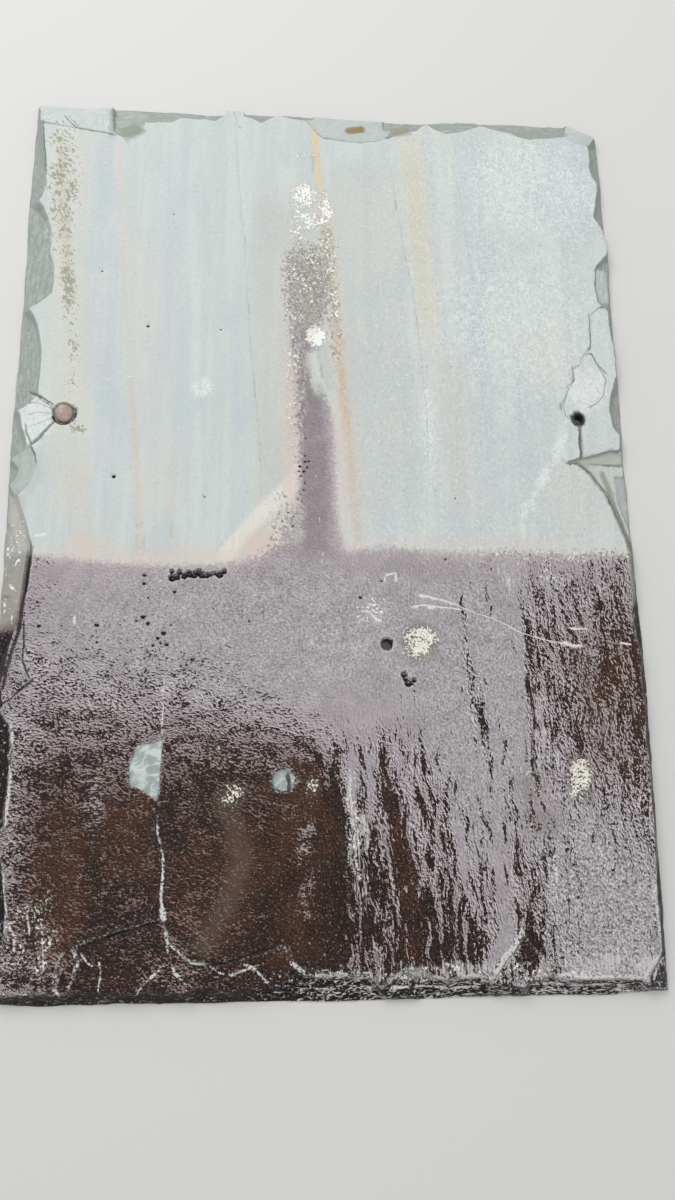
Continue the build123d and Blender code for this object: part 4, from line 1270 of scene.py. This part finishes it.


# Each pattern of the slate's face: its grain's width and height in mm, its turn in degrees, detail, roughness
# and distortion, and the place in the noise where it is taken. Streaks, clouds, pools, columns, breaks,
# laminae and tones have the sizes of the real ones, and so do the ripples and runs of the film. Grit, specks,
# glints and flakes are finer than the half millimetre that a pixel covers, too fine to show, so they are
# drawn at 1.1 to 1.7 mm. The two that end in _lit are the same grain seen a little further up, so that the
# difference of the pair paints light on the side of each ripple that looks to the head and shade on the
# other.
FACE_PATTERNS = {
    "streaks": (6.0, 120.0, 0, 3, 0.6, 0.0, (200, 0)),
    "clouds": (22.0, 40.0, 0, 3, 0.55, 0.3, (400, 0)),
    "specks": (1.5, 1.7, 0, 3, 0.6, 0.0, (600, 0)),
    "brush": (1.1, 14.0, 0, 3, 0.65, 0.2, (800, 0)),
    "ripple": (1.5, 1.0, -10, 3, 0.72, 0.2, (0, 0)),
    "ripple_lit": (1.5, 1.0, -10, 3, 0.72, 0.2, (0.15, 0.4)),
    "run": (0.95, 1.7, 9, 3, 0.7, 0.2, (90, 0)),
    "run_lit": (0.95, 1.7, 9, 3, 0.7, 0.2, (90.3, 0.35)),
    "pools": (9.0, 5.0, -10, 2, 0.5, 0.4, (0, 300)),
    "columns": (2.3, 17.0, 6, 3, 0.55, 0.5, (0, 500)),
    "bed_tone": (15.0, 22.0, 0, 3, 0.6, 0.3, (0, 700)),
    "film_tone": (12.0, 9.0, 20, 4, 0.6, 0.3, (0, 900)),
    "glint": (1.2, 1.2, 0, 3, 0.6, 0.4, (900, 900)),
    "break": (6.0, 4.0, 30, 4, 0.62, 0.6, (900, 300)),
    "laminae": (5.0, 2.7, 3, 2, 0.5, 2.2, (250, 650)),
    "grit": (1.1, 1.1, 0, 4, 0.7, 0.0, (300, 900)),
    "flake": (1.4, 1.6, 0, 3, 0.65, 0.2, (350, 850)),
    "curl": (2.2, 2.8, 10, 4, 0.66, 1.6, (450, 150)),
    "drip": (0.9, 9.0, 3, 3, 0.6, 0.3, (550, 250)),
    "cluster": (7.0, 8.0, 0, 2, 0.5, 0.6, (500, 700)),
    "worm": (1.2, 2.4, 35, 3, 0.6, 0.8, (700, 500)),
}
BENT = ("ripple", "ripple_lit", "run", "run_lit", "pools", "columns")
FACE_FIELDS = (
    "covered", "film_edge", "bare", "near_line", "runs_down", "streaky", "scar", "wall", "to_tail", "riser",
    "rim", "dark_line", "white_line", "scratch", "pit", "fresh", *PATCH_FIELDS,
)

# Mottles of the dry bloom: pattern, where it starts and is full, its strength on the left and right, and
# colour
DRY_MOTTLES = [
    ("specks", 0.55, 0.72, 0.3, 0.7, "E8EDEA"),
    ("specks", 0.43, 0.28, 0.3, 0.5, "A9B2B0"),
    ("brush", 0.42, 0.25, 0.15, 0.3, "B5BEBE"),
    ("brush", 0.58, 0.75, 0.3, 0.5, "E2E8E5"),
    ("curl", 0.52, 0.66, 0.1, 0.55, "E6EBE9"),
]

# Crusts and drips: field, pattern, weight of the field in it, where it starts and is full, strength and
# colour
CRUSTS = [
    ("grime", "worm", 0.22, 0.52, 0.6, 0.5, "E8EAE3"),
    ("grime", "worm", 0.22, 0.6, 0.72, 0.75, "938F80"),
    ("drips", "drip", 0.14, 0.6, 0.72, 0.8, "DEDBDA"),
    ("lime", "flake", 0.24, 0.6, 0.68, 1.0, "FFFFF6"),
    ("lichen", "grit", 0.19, 0.655, 0.7, 1.0, "FFFDF0"),
]


def face_patterns(add):
    """Every pattern of the face as a noise in millimetres."""
    place = add("ShaderNodeTexCoord", out="Object")
    mm = add(VECTOR, {0: place, "Scale": 1 / MM}, operation="SCALE")

    # Ripples and runs don't lie straight: their places drift by a millimetre or two over the face
    drift = add(NOISE, {"Vector": mm, "Scale": 1 / 16, "Detail": 1.0}, out=1)
    drift = add(VECTOR, [drift, (0.5, 0.5, 0.5)], **MINUS)
    bent = add(VECTOR, {0: drift, 1: (7.5, 6.0, 0.0), 2: mm}, **TIMES_PLUS)
    pattern = {}
    for name, (wide, tall, turn, detail, rough, warp, at) in FACE_PATTERNS.items():
        spread = {"Location": (*at, 0), "Rotation": (0, 0, math.radians(turn)), "Scale": (wide, tall, 1)}
        vector = add(MAPPING, {0: bent if name in BENT else mm, **spread}, vector_type="TEXTURE")
        grain = {"Scale": 1.0, "Detail": detail, "Roughness": rough, "Distortion": warp}
        pattern[name] = add(NOISE, {"Vector": vector, **grain})
    return pattern


def dry_bloom(add, pattern, field):
    """Lime bloom under the course above: even grey-green, with faint streaks that follow the rain down."""
    stain = add(RANGE, [pattern["brush"], 0.3, 0.6, 0.6, 1.0])
    stain = add(MATH, [stain, add(RANGE, [pattern["grit"], 0.36, 0.56, 0.55, 1.0])], **TIMES)
    stain = add(MATH, [stain, add(FIELD, attribute_name="stain", out="Alpha")], **TIMES)
    warm = add(MATH, [field["warm"], pattern["specks"]], **TIMES)
    scuff = add(MATH, [field["scuff"], 0.12, pattern["curl"]], **TIMES_PLUS)
    scuff_held = add(RANGE, [field["scuff"], 0.0, 0.4, 0, 0.85])
    layers = [
        (add(RANGE, [pattern["clouds"], 0.42, 0.7, 0, 0.6], **SOFT), "C6D0D4"),
        (stain, add(FIELD, attribute_name="stain", out="Color")),
        (add(RANGE, [warm, 0.1, 0.55, 0, 0.8], **SOFT), "E3CEC3"),
        (add(MATH, [add(RANGE, [scuff, 0.5, 0.64], **SOFT), scuff_held], **TIMES), "EDF2F0"),
    ]
    for name, start, full, at_left, at_right, tint in DRY_MOTTLES:
        strength = add(RANGE, [field["runs_down"], 0, 1, at_left, at_right])
        layers.append((add(RANGE, [pattern[name], start, full, 0, strength], **SOFT), tint))
    streaks = add(RANGE, [pattern["streaks"], 0.36, 0.66], **SOFT)
    bloom = add(MIX, {SHARE: streaks, UNDER: "CED7D5", OVER: "D8DED9"}, **COLOUR)
    for share, tint in layers:
        bloom = add(MIX, {SHARE: share, UNDER: bloom, OVER: tint}, **COLOUR)
    return bloom


def film_level(add, pattern, field):
    """How far the wet film stands above its edge, and its grain, as it is and seen a little further up.

    The film breaks into ripples on the left and into runs down the slate on the right.
    """
    grain, grain_lit, large = (
        add(MIX, {SHARE: field["runs_down"], FIRST: pattern[at_left], SECOND: pattern[at_right]})
        for at_left, at_right in (("ripple", "run"), ("ripple_lit", "run_lit"), ("pools", "columns"))
    )
    level = 0.5
    for source, at_left, at_right in ((large, 0.4, 1.0), (grain, 1.0, 0.7)):
        weight = add(RANGE, [field["streaky"], 0, 1, at_left, at_right])
        level = add(MATH, [add(MATH, [source, 0.5], **MINUS), weight, level], **TIMES_PLUS)
    return add(MATH, [level, field["film_edge"]], **MINUS), grain, grain_lit


def bare_stone(add, pattern, field):
    """Stone where the film has broken, purple-black to rust brown, with dull glints."""
    brown = add(MATH, [field["brown"], 0.3, pattern["bed_tone"]], **TIMES_PLUS)
    brown = add(RANGE, [brown, 0.5, 0.95], **SOFT)
    bare = add(MIX, {SHARE: brown, UNDER: "261812", OVER: "4A2C1A"}, **COLOUR)
    glint = add(RANGE, [pattern["glint"], 0.52, 0.72, 0, 0.5], **SOFT)
    return add(MIX, {SHARE: glint, UNDER: bare, OVER: "7D6355"}, **COLOUR)


def painted_film_sheen(add, pattern, field, above):
    """The film's painted reflection of the sky: painted highlights at its rims, lighter by the line, duller
    where little is left.
    """
    # Painted highlight along the rims of the film, stronger where more stone is bare
    rim = add(RANGE, [above, 0.06, 0.01], **SOFT)
    rim = add(MATH, [rim, add(RANGE, [field["bare"], 0.1, 0.5, 0, 0.8])], **TIMES)
    near_line = add(MATH, [add(RANGE, [pattern["specks"], 0.35, 0.6, 0.3, 0.6]), field["near_line"]], **TIMES)
    dull = add(RANGE, [field["bare"], 0.2, 0.9, 0, 0.9])
    dull = add(MATH, [dull, add(RANGE, [field["runs_down"], 0, 1, 1, 0.45])], **TIMES)
    tone = add(RANGE, [pattern["film_tone"], 0.38, 0.64], **SOFT)
    film = add(MIX, {SHARE: tone, UNDER: "A9A1A6", OVER: "B8B0B4"}, **COLOUR)
    for share, tint in [
        (add(RANGE, [field["grain"], 0, 1, 0, 0.7]), "B2B0B2"),
        (rim, "D2C9CA"),
        (near_line, "C2B5B7"),
        (dull, "705349"),
    ]:
        film = add(MIX, {SHARE: share, UNDER: film, OVER: tint}, **COLOUR)
    return film


def wet_stone(add, pattern, field):
    """Stone below the weather line, film and all: its colour, with the film's grey as a painted reflection of
    the sky, and the grain of the film.
    """
    above, grain, grain_lit = film_level(add, pattern, field)
    bare = bare_stone(add, pattern, field)
    film = painted_film_sheen(add, pattern, field, above)
    # Painted reflection of the sky where the film is whole, bare stone where it breaks
    wet = add(MIX, {SHARE: add(RANGE, [above, -0.006, 0.022], **SOFT), UNDER: bare, OVER: film}, **COLOUR)

    # Painted light and shade on the ripples, the grit's own grain, then painted glints on its brightest
    # flecks
    lit = add(RANGE, [add(MATH, [grain, grain_lit], **MINUS), -0.11, 0.11, 0.0, 1.0])
    lit_share = add(RANGE, [field["bare"], 0.0, 0.35, 0.15, 0.85])
    grit_share = add(MATH, [field["grain"], 0.92], **TIMES)
    clumps = add(MATH, [pattern["curl"], 0.6, pattern["grit"]], **TIMES_PLUS)
    for share, light in ((lit_share, lit), (grit_share, add(RANGE, [clumps, 0.59, 0.99]))):
        wet = add(MIX, {SHARE: share, UNDER: wet, OVER: light}, blend_type="OVERLAY", **COLOUR)
    flecks = add(MATH, [lit_share, grit_share], **LARGER)
    flecks = add(MATH, [add(RANGE, [pattern["grit"], 0.62, 0.7]), flecks], **TIMES)
    return add(MIX, {SHARE: flecks, UNDER: wet, OVER: "DAD3D4"}, **COLOUR), grain


def dressed_edge(add, pattern, field, exposed):
    """Layers of the dressed edge: duller and greyer than the bloom where dry, dark with painted glints where
    wet, with painted shade on its walls and risers and painted highlights on its leaves and arrises.
    """
    leaves = add(MIX, {SHARE: field["to_tail"], FIRST: pattern["break"], SECOND: pattern["laminae"]})
    leaves = add(MATH, [field["runs_down"], 0.1, leaves], **TIMES_PLUS)
    dry = add(RANGE, [pattern["break"], 0.35, 0.7], **SOFT)
    dry = add(MIX, {SHARE: dry, UNDER: "A2AAA4", OVER: "B4BCB6"}, **COLOUR)
    # Painted shade on the risers between the leaves
    dry = add(MIX, {SHARE: add(MATH, [field["riser"], 0.3], **TIMES), UNDER: dry, OVER: "7C8680"}, **COLOUR)
    # Wet, the stone is near black, with the tops of the leaves lighter as painted sheen, then painted glints
    # and painted shade on the risers
    soaked_and_painted_light = add(RANGE, [leaves, 0.62, 0.66], **SOFT)
    soaked_and_painted_light = add(MIX, {SHARE: soaked_and_painted_light, UNDER: "18110F", OVER: "8E8587"}, **COLOUR)
    for share, tint in [
        (add(RANGE, [pattern["glint"], 0.6, 0.68], **SOFT), "DEDBDA"),
        (add(MATH, [field["riser"], 0.8], **TIMES), "251B18"),
    ]:
        soaked_and_painted_light = add(MIX, {SHARE: share, UNDER: soaked_and_painted_light, OVER: tint}, **COLOUR)
    broken = add(RANGE, [field["covered"], 3.0, -5.0], **SOFT)
    broken = add(MIX, {SHARE: broken, UNDER: dry, OVER: soaked_and_painted_light}, **COLOUR)
    # Painted shade on the steep walls, grey-green where dry and near black where wet
    shade = add(RANGE, [field["covered"], 2.0, -3.0], **SOFT)
    shade = add(MIX, {SHARE: shade, UNDER: "9BA59F", OVER: "2B201D"}, **COLOUR)
    leaf_light = add(MATH, [add(RANGE, [leaves, 0.65, 0.68], **SOFT), field["scar"]], **TIMES)
    leaf_light = add(MATH, [leaf_light, add(RANGE, [field["covered"], -3.0, -8.0, 0.04, 0.9])], **TIMES)
    # Painted highlight along the arrises of the face, in flecks where the stone is bare
    rim = add(MATH, [field["bare"], -0.12, pattern["glint"]], **TIMES_PLUS)
    rim = add(MATH, [field["rim"], add(RANGE, [rim, 0.42, 0.5, 0.05, 0.9])], **TIMES)
    rim = add(MATH, [rim, add(RANGE, [exposed, 0, 1, 0.3, 0.9])], **TIMES)
    # The tints are stains, and painted shade in the nail's socket, in the right hole and down the right edge
    tinted = add(RANGE, [pattern["break"], 0.3, 0.55, 0.7, 1.0])
    return [
        (field["scar"], broken),
        (add(MATH, [field["wall"], 0.75], **TIMES), shade),
        (leaf_light, "DAD6D5"),
        (rim, add(MIX, {SHARE: exposed, UNDER: "E1E8E4", OVER: "D9D6D5"}, **COLOUR)),
        (add(MATH, [add(FIELD, attribute_name="tint", out="Alpha"), tinted], **TIMES),
         add(FIELD, attribute_name="tint", out="Color")),
    ]


def marks(add, pattern, field):
    """Layers of the chips, of the painted shade in pits, cracks and along arrises, of the lime and painted
    highlights in white lines, of scratches, grime, lime and lichen, and how much is dry crust.
    """
    chip = add(RANGE, [pattern["break"], 0.42, 0.6], **SOFT)
    crack = add(RANGE, [field["covered"], 2.0, -3.0], **SOFT)
    dark = add(MATH, [field["dark_line"], add(RANGE, [pattern["grit"], 0.3, 0.45, 0.75, 1.0])], **TIMES)
    white = add(MATH, [field["white_line"], add(RANGE, [pattern["grit"], 0.37, 0.52])], **TIMES)
    layers = [
        (field["fresh"], add(MIX, {SHARE: chip, UNDER: "ABB7B4", OVER: "DDE6E4"}, **COLOUR)),
        # Painted shade in the pits and holes, darkest on the wall towards the tail
        (add(RANGE, [field["pit"], 0.25, 0.65], **SOFT), "1F1816"),
        # Painted shade in the cracks and slits and along the arrises: grey where dry, near black where wet
        (add(RANGE, [dark, 0.1, 0.65, 0, 0.85], **SOFT),
         add(MIX, {SHARE: crack, UNDER: "6F7873", OVER: "261C19"}, **COLOUR)),
        # Lime in the cracks and drips, and painted highlights along the tail's leaves, the rims and edges
        (add(RANGE, [white, 0.25, 0.5, 0, 0.92], **SOFT), "EAE8E7"),
        (add(RANGE, [field["scratch"], 0.2, 0.7, 0, 0.95], **SOFT), "F2F0EB"),
    ]
    cluster = add(RANGE, [pattern["cluster"], 0.3, 0.7, -0.09, 0.07])
    shares = {}
    for name, source, weight, start, full, strength, tint in CRUSTS:
        amount = add(MATH, [field[name], weight, pattern[source]], **TIMES_PLUS)
        amount = add(RANGE, [add(MATH, [cluster, amount], **PLUS), start, full, 0, strength], **SOFT)
        shares[name] = add(MATH, [amount, add(RANGE, [field[name], 0.0, 0.15])], **TIMES)
        layers.append((shares[name], tint))

    # Lichen darkens the stone that it grows on, so this layer goes below its own
    layers.insert(-1, (add(MATH, [field["lichen"], 0.45], use_clamp=True, **TIMES), "6A5C54"))
    return layers, add(MATH, [shares["lichen"], shares["lime"]], **LARGER)


def slate_face_material():
    """Riven slate, split along its cleavage and weathered.

    Dry under the course above it carries a pale lime bloom, dull and even. Below that line rain keeps a thin
    wet film on purple-brown stone: a grey sheen where the film is whole, painted into the colour as a
    reflection of the sky, near black-brown where it breaks.
    """
    material, add = material_tree("riven_slate_weathered")
    pattern = face_patterns(add)
    field = {name: add(FIELD, attribute_name=name, out="Fac") for name in FACE_FIELDS}

    # The weather line is a fuzzy border, and its fuzz is a few millimetres wide
    line = add(MATH, [add(MATH, [pattern["specks"], 0.5], **MINUS), field["fuzz"]], **TIMES)
    line = add(MATH, [line, 5.0, field["covered"]], **TIMES_PLUS)
    exposed = add(RANGE, [line, 2.5, -2.5], **SOFT)

    wet, grain = wet_stone(add, pattern, field)
    mark_layers, crust = marks(add, pattern, field)
    face = dry_bloom(add, pattern, field)
    for share, tint in [(exposed, wet), *dressed_edge(add, pattern, field, exposed), *mark_layers]:
        face = add(MIX, {SHARE: share, UNDER: face, OVER: tint}, **COLOUR)

    # Wet stone is smoother than dry stone and crust, and its ripples stand higher than the grain of the bloom
    damp = add(MATH, [exposed, crust], use_clamp=True, **MINUS)
    rough = add(RANGE, [damp, 0, 1, 0.8, 0.34])
    ripples = add(MATH, [add(MATH, [grain, exposed], **TIMES), 2.4], **TIMES)
    height = add(MATH, [pattern["specks"], 0.35, ripples], **TIMES_PLUS)
    height = add(MATH, [add(MATH, [pattern["break"], field["scar"]], **TIMES), 1.6, height], **TIMES_PLUS)
    height = add(MATH, [crust, 0.9, height], **TIMES_PLUS)
    bump = add(BUMP, {"Height": height, "Distance": 0.3 * MM, "Strength": 1.0})
    finish = {"Base Color": face, "Roughness": rough, "Normal": bump, "Specular IOR Level": 0.22}
    add(OUTPUT, {"Surface": add(PRINCIPLED, finish)})
    return material


def slate_bed_material():
    """Slate as split, on the side that lay on the battens: matt purple-grey, with specks of lime dust."""
    material, add = material_tree("riven_slate_bed")
    place = add("ShaderNodeTexCoord", out="Object")

    # Clouds of the stone are about 22 mm wide. The dust's grain, finer than a pixel, is drawn at 1.8 mm
    coarse = add(NOISE, {"Vector": place, "Scale": 1 / (22 * MM), "Detail": 5.0, "Roughness": 0.6})
    fine = add(NOISE, {"Vector": place, "Scale": 1 / (1.8 * MM), "Detail": 4.0, "Roughness": 0.6})
    clouds = add(RANGE, [coarse, 0.3, 0.7])
    dust = add(RANGE, [fine, 0.4, 0.75, 0, 0.7])
    stone = add(MIX, {SHARE: clouds, UNDER: "6F6469", OVER: "9A9699"}, **COLOUR)
    dusty = add(MIX, {SHARE: dust, UNDER: stone, OVER: "B4B6B3"}, **COLOUR)
    bump = add(BUMP, {"Height": fine, "Distance": 0.2 * MM, "Strength": 0.8})
    shader = add(PRINCIPLED, {"Base Color": dusty, "Roughness": 0.8, "Normal": bump})
    add(OUTPUT, {"Surface": shader})
    return material


def copper_material(settings):
    """Copper, headed cold and left in the rain: a thin dull brown-pink film over the metal."""
    material, add = material_tree("weathered_copper")
    place = add("ShaderNodeTexCoord", out="Object")

    # Blotches of the film are about 3 mm wide. Its dark pits, finer than a pixel, are drawn at 0.7 mm
    blotch = add(NOISE, {"Vector": place, "Scale": 1 / (3.0 * MM), "Detail": 4.0, "Roughness": 0.6})
    fine = add(NOISE, {"Vector": place, "Scale": 1 / (0.7 * MM), "Detail": 2.0, "Roughness": 0.6})
    blotches = add(RANGE, [blotch, 0.35, 0.65])
    pitted = add(RANGE, [fine, 0.6, 0.75, 0, 0.5])
    colour = add(MIX, {SHARE: blotches, UNDER: "8B786E", OVER: settings.colour}, **COLOUR)
    colour = add(MIX, {SHARE: pitted, UNDER: colour, OVER: "6E5B52"}, **COLOUR)
    bump = add(BUMP, {"Height": blotch, "Distance": 0.15 * MM, "Strength": 0.7})
    shader = add(PRINCIPLED, {"Base Color": colour, "Metallic": 0.35, "Roughness": 0.48, "Normal": bump})
    add(OUTPUT, {"Surface": shader})
    return material


def floor_material(settings):
    """Board, painted matt."""
    material, add = material_tree("matt_floor")
    finish = {"Base Color": settings.floor_colour, "Roughness": 0.9, "Specular IOR Level": 0.1}
    add(OUTPUT, {"Surface": add(PRINCIPLED, finish)})
    return material


# Mesh of the nail

def nail_profile():
    """Radius and height of each ring of the nail, from the top of its head to the tip of its shank."""
    head = NAIL_HEAD_RADIUS
    low_z, high_z = nail_low[2], nail_high[2]
    under = high_z - NAIL_HEAD_THICKNESS
    dome = [(0.0, 0.0), (0.3, 0.01), (0.6, 0.06), (0.82, 0.14), (0.93, 0.28), (0.99, 0.55)]
    rim = [(1.0, 0.35), (0.96, 0.08), (0.8, 0.0), (0.4, 0.0)]
    return [
        *((share * head, high_z - drop) for share, drop in dome),
        *((share * head, under + rise) for share, rise in rim),
        (NAIL_SHANK_RADIUS, under - 0.2),
        (NAIL_SHANK_RADIUS, low_z + 0.4),
        (NAIL_SHANK_RADIUS * 0.8, low_z + 0.05),
        (0.0, low_z),
    ]


def hammered_ring(radius, z, settings):
    """Points of one ring, which the hammer left out of round and, on the head, flat in a few soft planes."""
    angles = np.linspace(0, 2 * math.pi, NAIL_SIDES, endpoint=False)
    wobble = 1.0
    for share, lobes, turn in ((0.035, 2, 0.8), (0.02, 5, 2)):
        wobble = wobble - share * (0.5 + 0.5 * np.sin(lobes * angles + turn))
    x, y = radius * wobble * np.cos(angles), radius * wobble * np.sin(angles)
    dents = np.zeros(NAIL_SIDES)
    if z > nail_high[2] - NAIL_HEAD_THICKNESS + 0.3:
        rough = unit_fractal(np.column_stack([x, y]), 2.6, 5, 2)
        for direction, rise in ((0.6, 0.0), (2.5, 0.03), (4.2, 0.01)):
            tilt = 0.05 * (x * math.cos(direction) + y * math.sin(direction))
            dents = np.maximum(dents, tilt - rise)
        dents = settings.dent_depth * (dents / 0.2 + 0.5 * rough)
    return zip(NAIL[0] + x, NAIL[1] + y, z - dents)


def build_nail_mesh(settings):
    """Head and shank turned from one profile, closed by a point at each end."""
    profile = nail_profile()
    vertices = []
    for radius, z in profile:
        vertices.extend(hammered_ring(radius, z, settings) if radius else [(NAIL[0], NAIL[1], z)])
    faces = []
    for ring in range(len(profile) - 3):
        start = 1 + ring * NAIL_SIDES
        below = start + NAIL_SIDES
        for n in range(NAIL_SIDES):
            m = (n + 1) % NAIL_SIDES
            faces.append([start + n, below + n, below + m, start + m])
    tip = len(vertices) - 1
    last = tip - NAIL_SIDES
    for n in range(NAIL_SIDES):
        m = (n + 1) % NAIL_SIDES
        faces.append([0, 1 + n, 1 + m])
        faces.append([tip, last + m, last + n])
    piece = add_object("copper_nail", np.array(vertices) * MM, faces)
    piece.data.polygons.foreach_set("use_smooth", np.ones(len(faces), bool))
    piece.data.update()
    return piece


# Stage

def lay_floor(settings):
    """The flat floor that the slate lies on."""
    corners = [(x * FLOOR_REACH, y * FLOOR_REACH, 0) for x, y in ((-1, -1), (1, -1), (1, 1), (-1, 1))]
    floor = add_object("floor", corners, [(0, 1, 2, 3)])
    floor.location.z = -FLOOR_DROP
    floor.data.materials.append(floor_material(settings))


def set_sky(settings):
    """An even white sky."""
    world = bpy.data.worlds.new("even_sky")
    world.use_nodes = True
    background = world.node_tree.nodes["Background"]
    background.inputs["Color"].default_value = (1, 1, 1, 1)
    background.inputs["Strength"].default_value = settings.sky_strength
    bpy.context.scene.world = world


def hang_lamp(settings):
    """One large round lamp over the slate's head, aimed at the slate."""
    lamp = bpy.data.lights.new("head_lamp", "AREA")
    lamp.shape = "DISK"
    lamp.size = LAMP_SIZE
    lamp.energy = settings.lamp_power
    piece = bpy.data.objects.new("head_lamp", lamp)
    piece.location = settings.lamp_place
    piece.rotation_euler = Vector(piece.location).to_track_quat("Z", "Y").to_euler()
    bpy.context.scene.collection.objects.link(piece)


def place_camera(settings):
    """The camera, where the photograph's own camera stood."""
    camera = bpy.data.cameras.new("camera")
    camera.sensor_fit = "AUTO"
    camera.lens = camera.sensor_width * settings.focal_share
    camera.clip_start = CLIP_START
    piece = bpy.data.objects.new("camera", camera)
    turns = zip(settings.camera_turn, "XYZ")
    about_x, about_y, about_z = (Matrix.Rotation(angle, 4, axis) for angle, axis in turns)
    piece.matrix_world = Matrix.Translation(settings.camera_place) @ (about_z @ about_y @ about_x)
    bpy.context.scene.collection.objects.link(piece)
    bpy.context.scene.camera = piece


# Operators and panel

class SLATE_OT_stone(bpy.types.Operator):
    """Build the slate itself over its frame"""

    bl_idname = "slate.stone"
    bl_label = "Build the slate"

    def execute(self, context):
        piece = build_slate_mesh(context.scene.slate)
        piece.data.materials.append(slate_face_material())
        piece.data.materials.append(slate_bed_material())
        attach(piece, "root")
        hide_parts("slate")
        return {"FINISHED"}


class SLATE_OT_nail(bpy.types.Operator):
    """Build the copper nail over its frame"""

    bl_idname = "slate.nail"
    bl_label = "Build the nail"

    def execute(self, context):
        settings = context.scene.slate_nail
        piece = build_nail_mesh(settings)
        piece.data.materials.append(copper_material(settings))
        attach(piece, "root")
        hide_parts("nail")
        return {"FINISHED"}


class SLATE_OT_stage(bpy.types.Operator):
    """Lay the floor, set the light and place the camera"""

    bl_idname = "slate.stage"
    bl_label = "Set the stage"

    def execute(self, context):
        settings = context.scene.slate_stage
        lay_floor(settings)
        set_sky(settings)
        hang_lamp(settings)
        place_camera(settings)
        context.scene.view_settings.view_transform = "Standard"
        return {"FINISHED"}


class SLATE_PT_panel(bpy.types.Panel):
    """Slate roof tile"""

    bl_idname = "SLATE_PT_panel"
    bl_label = "Slate roof tile"
    bl_space_type = "VIEW_3D"
    bl_region_type = "UI"
    bl_category = "Slate"

    def draw(self, context):
        for operator in OPERATORS:
            self.layout.operator(operator.bl_idname)
        for name, group in SETTINGS.items():
            box = self.layout.box()
            for field in group.__annotations__:
                box.prop(getattr(context.scene, name), field)


SETTINGS = {"slate": SlateSettings, "slate_nail": NailSettings, "slate_stage": StageSettings}
OPERATORS = (SLATE_OT_stone, SLATE_OT_nail, SLATE_OT_stage)


def register():
    for group in SETTINGS.values():
        bpy.utils.register_class(group)
    for name, group in SETTINGS.items():
        setattr(bpy.types.Scene, name, bpy.props.PointerProperty(type=group))
    for cls in (*OPERATORS, SLATE_PT_panel):
        bpy.utils.register_class(cls)


def unregister():
    for cls in (SLATE_PT_panel, *reversed(OPERATORS)):
        bpy.utils.unregister_class(cls)
    for name, group in SETTINGS.items():
        delattr(bpy.types.Scene, name)
        bpy.utils.unregister_class(group)


def main():
    register()
    bpy.ops.slate.stone()
    bpy.ops.slate.nail()
    bpy.ops.slate.stage()


if __name__ == "__main__":
    main()
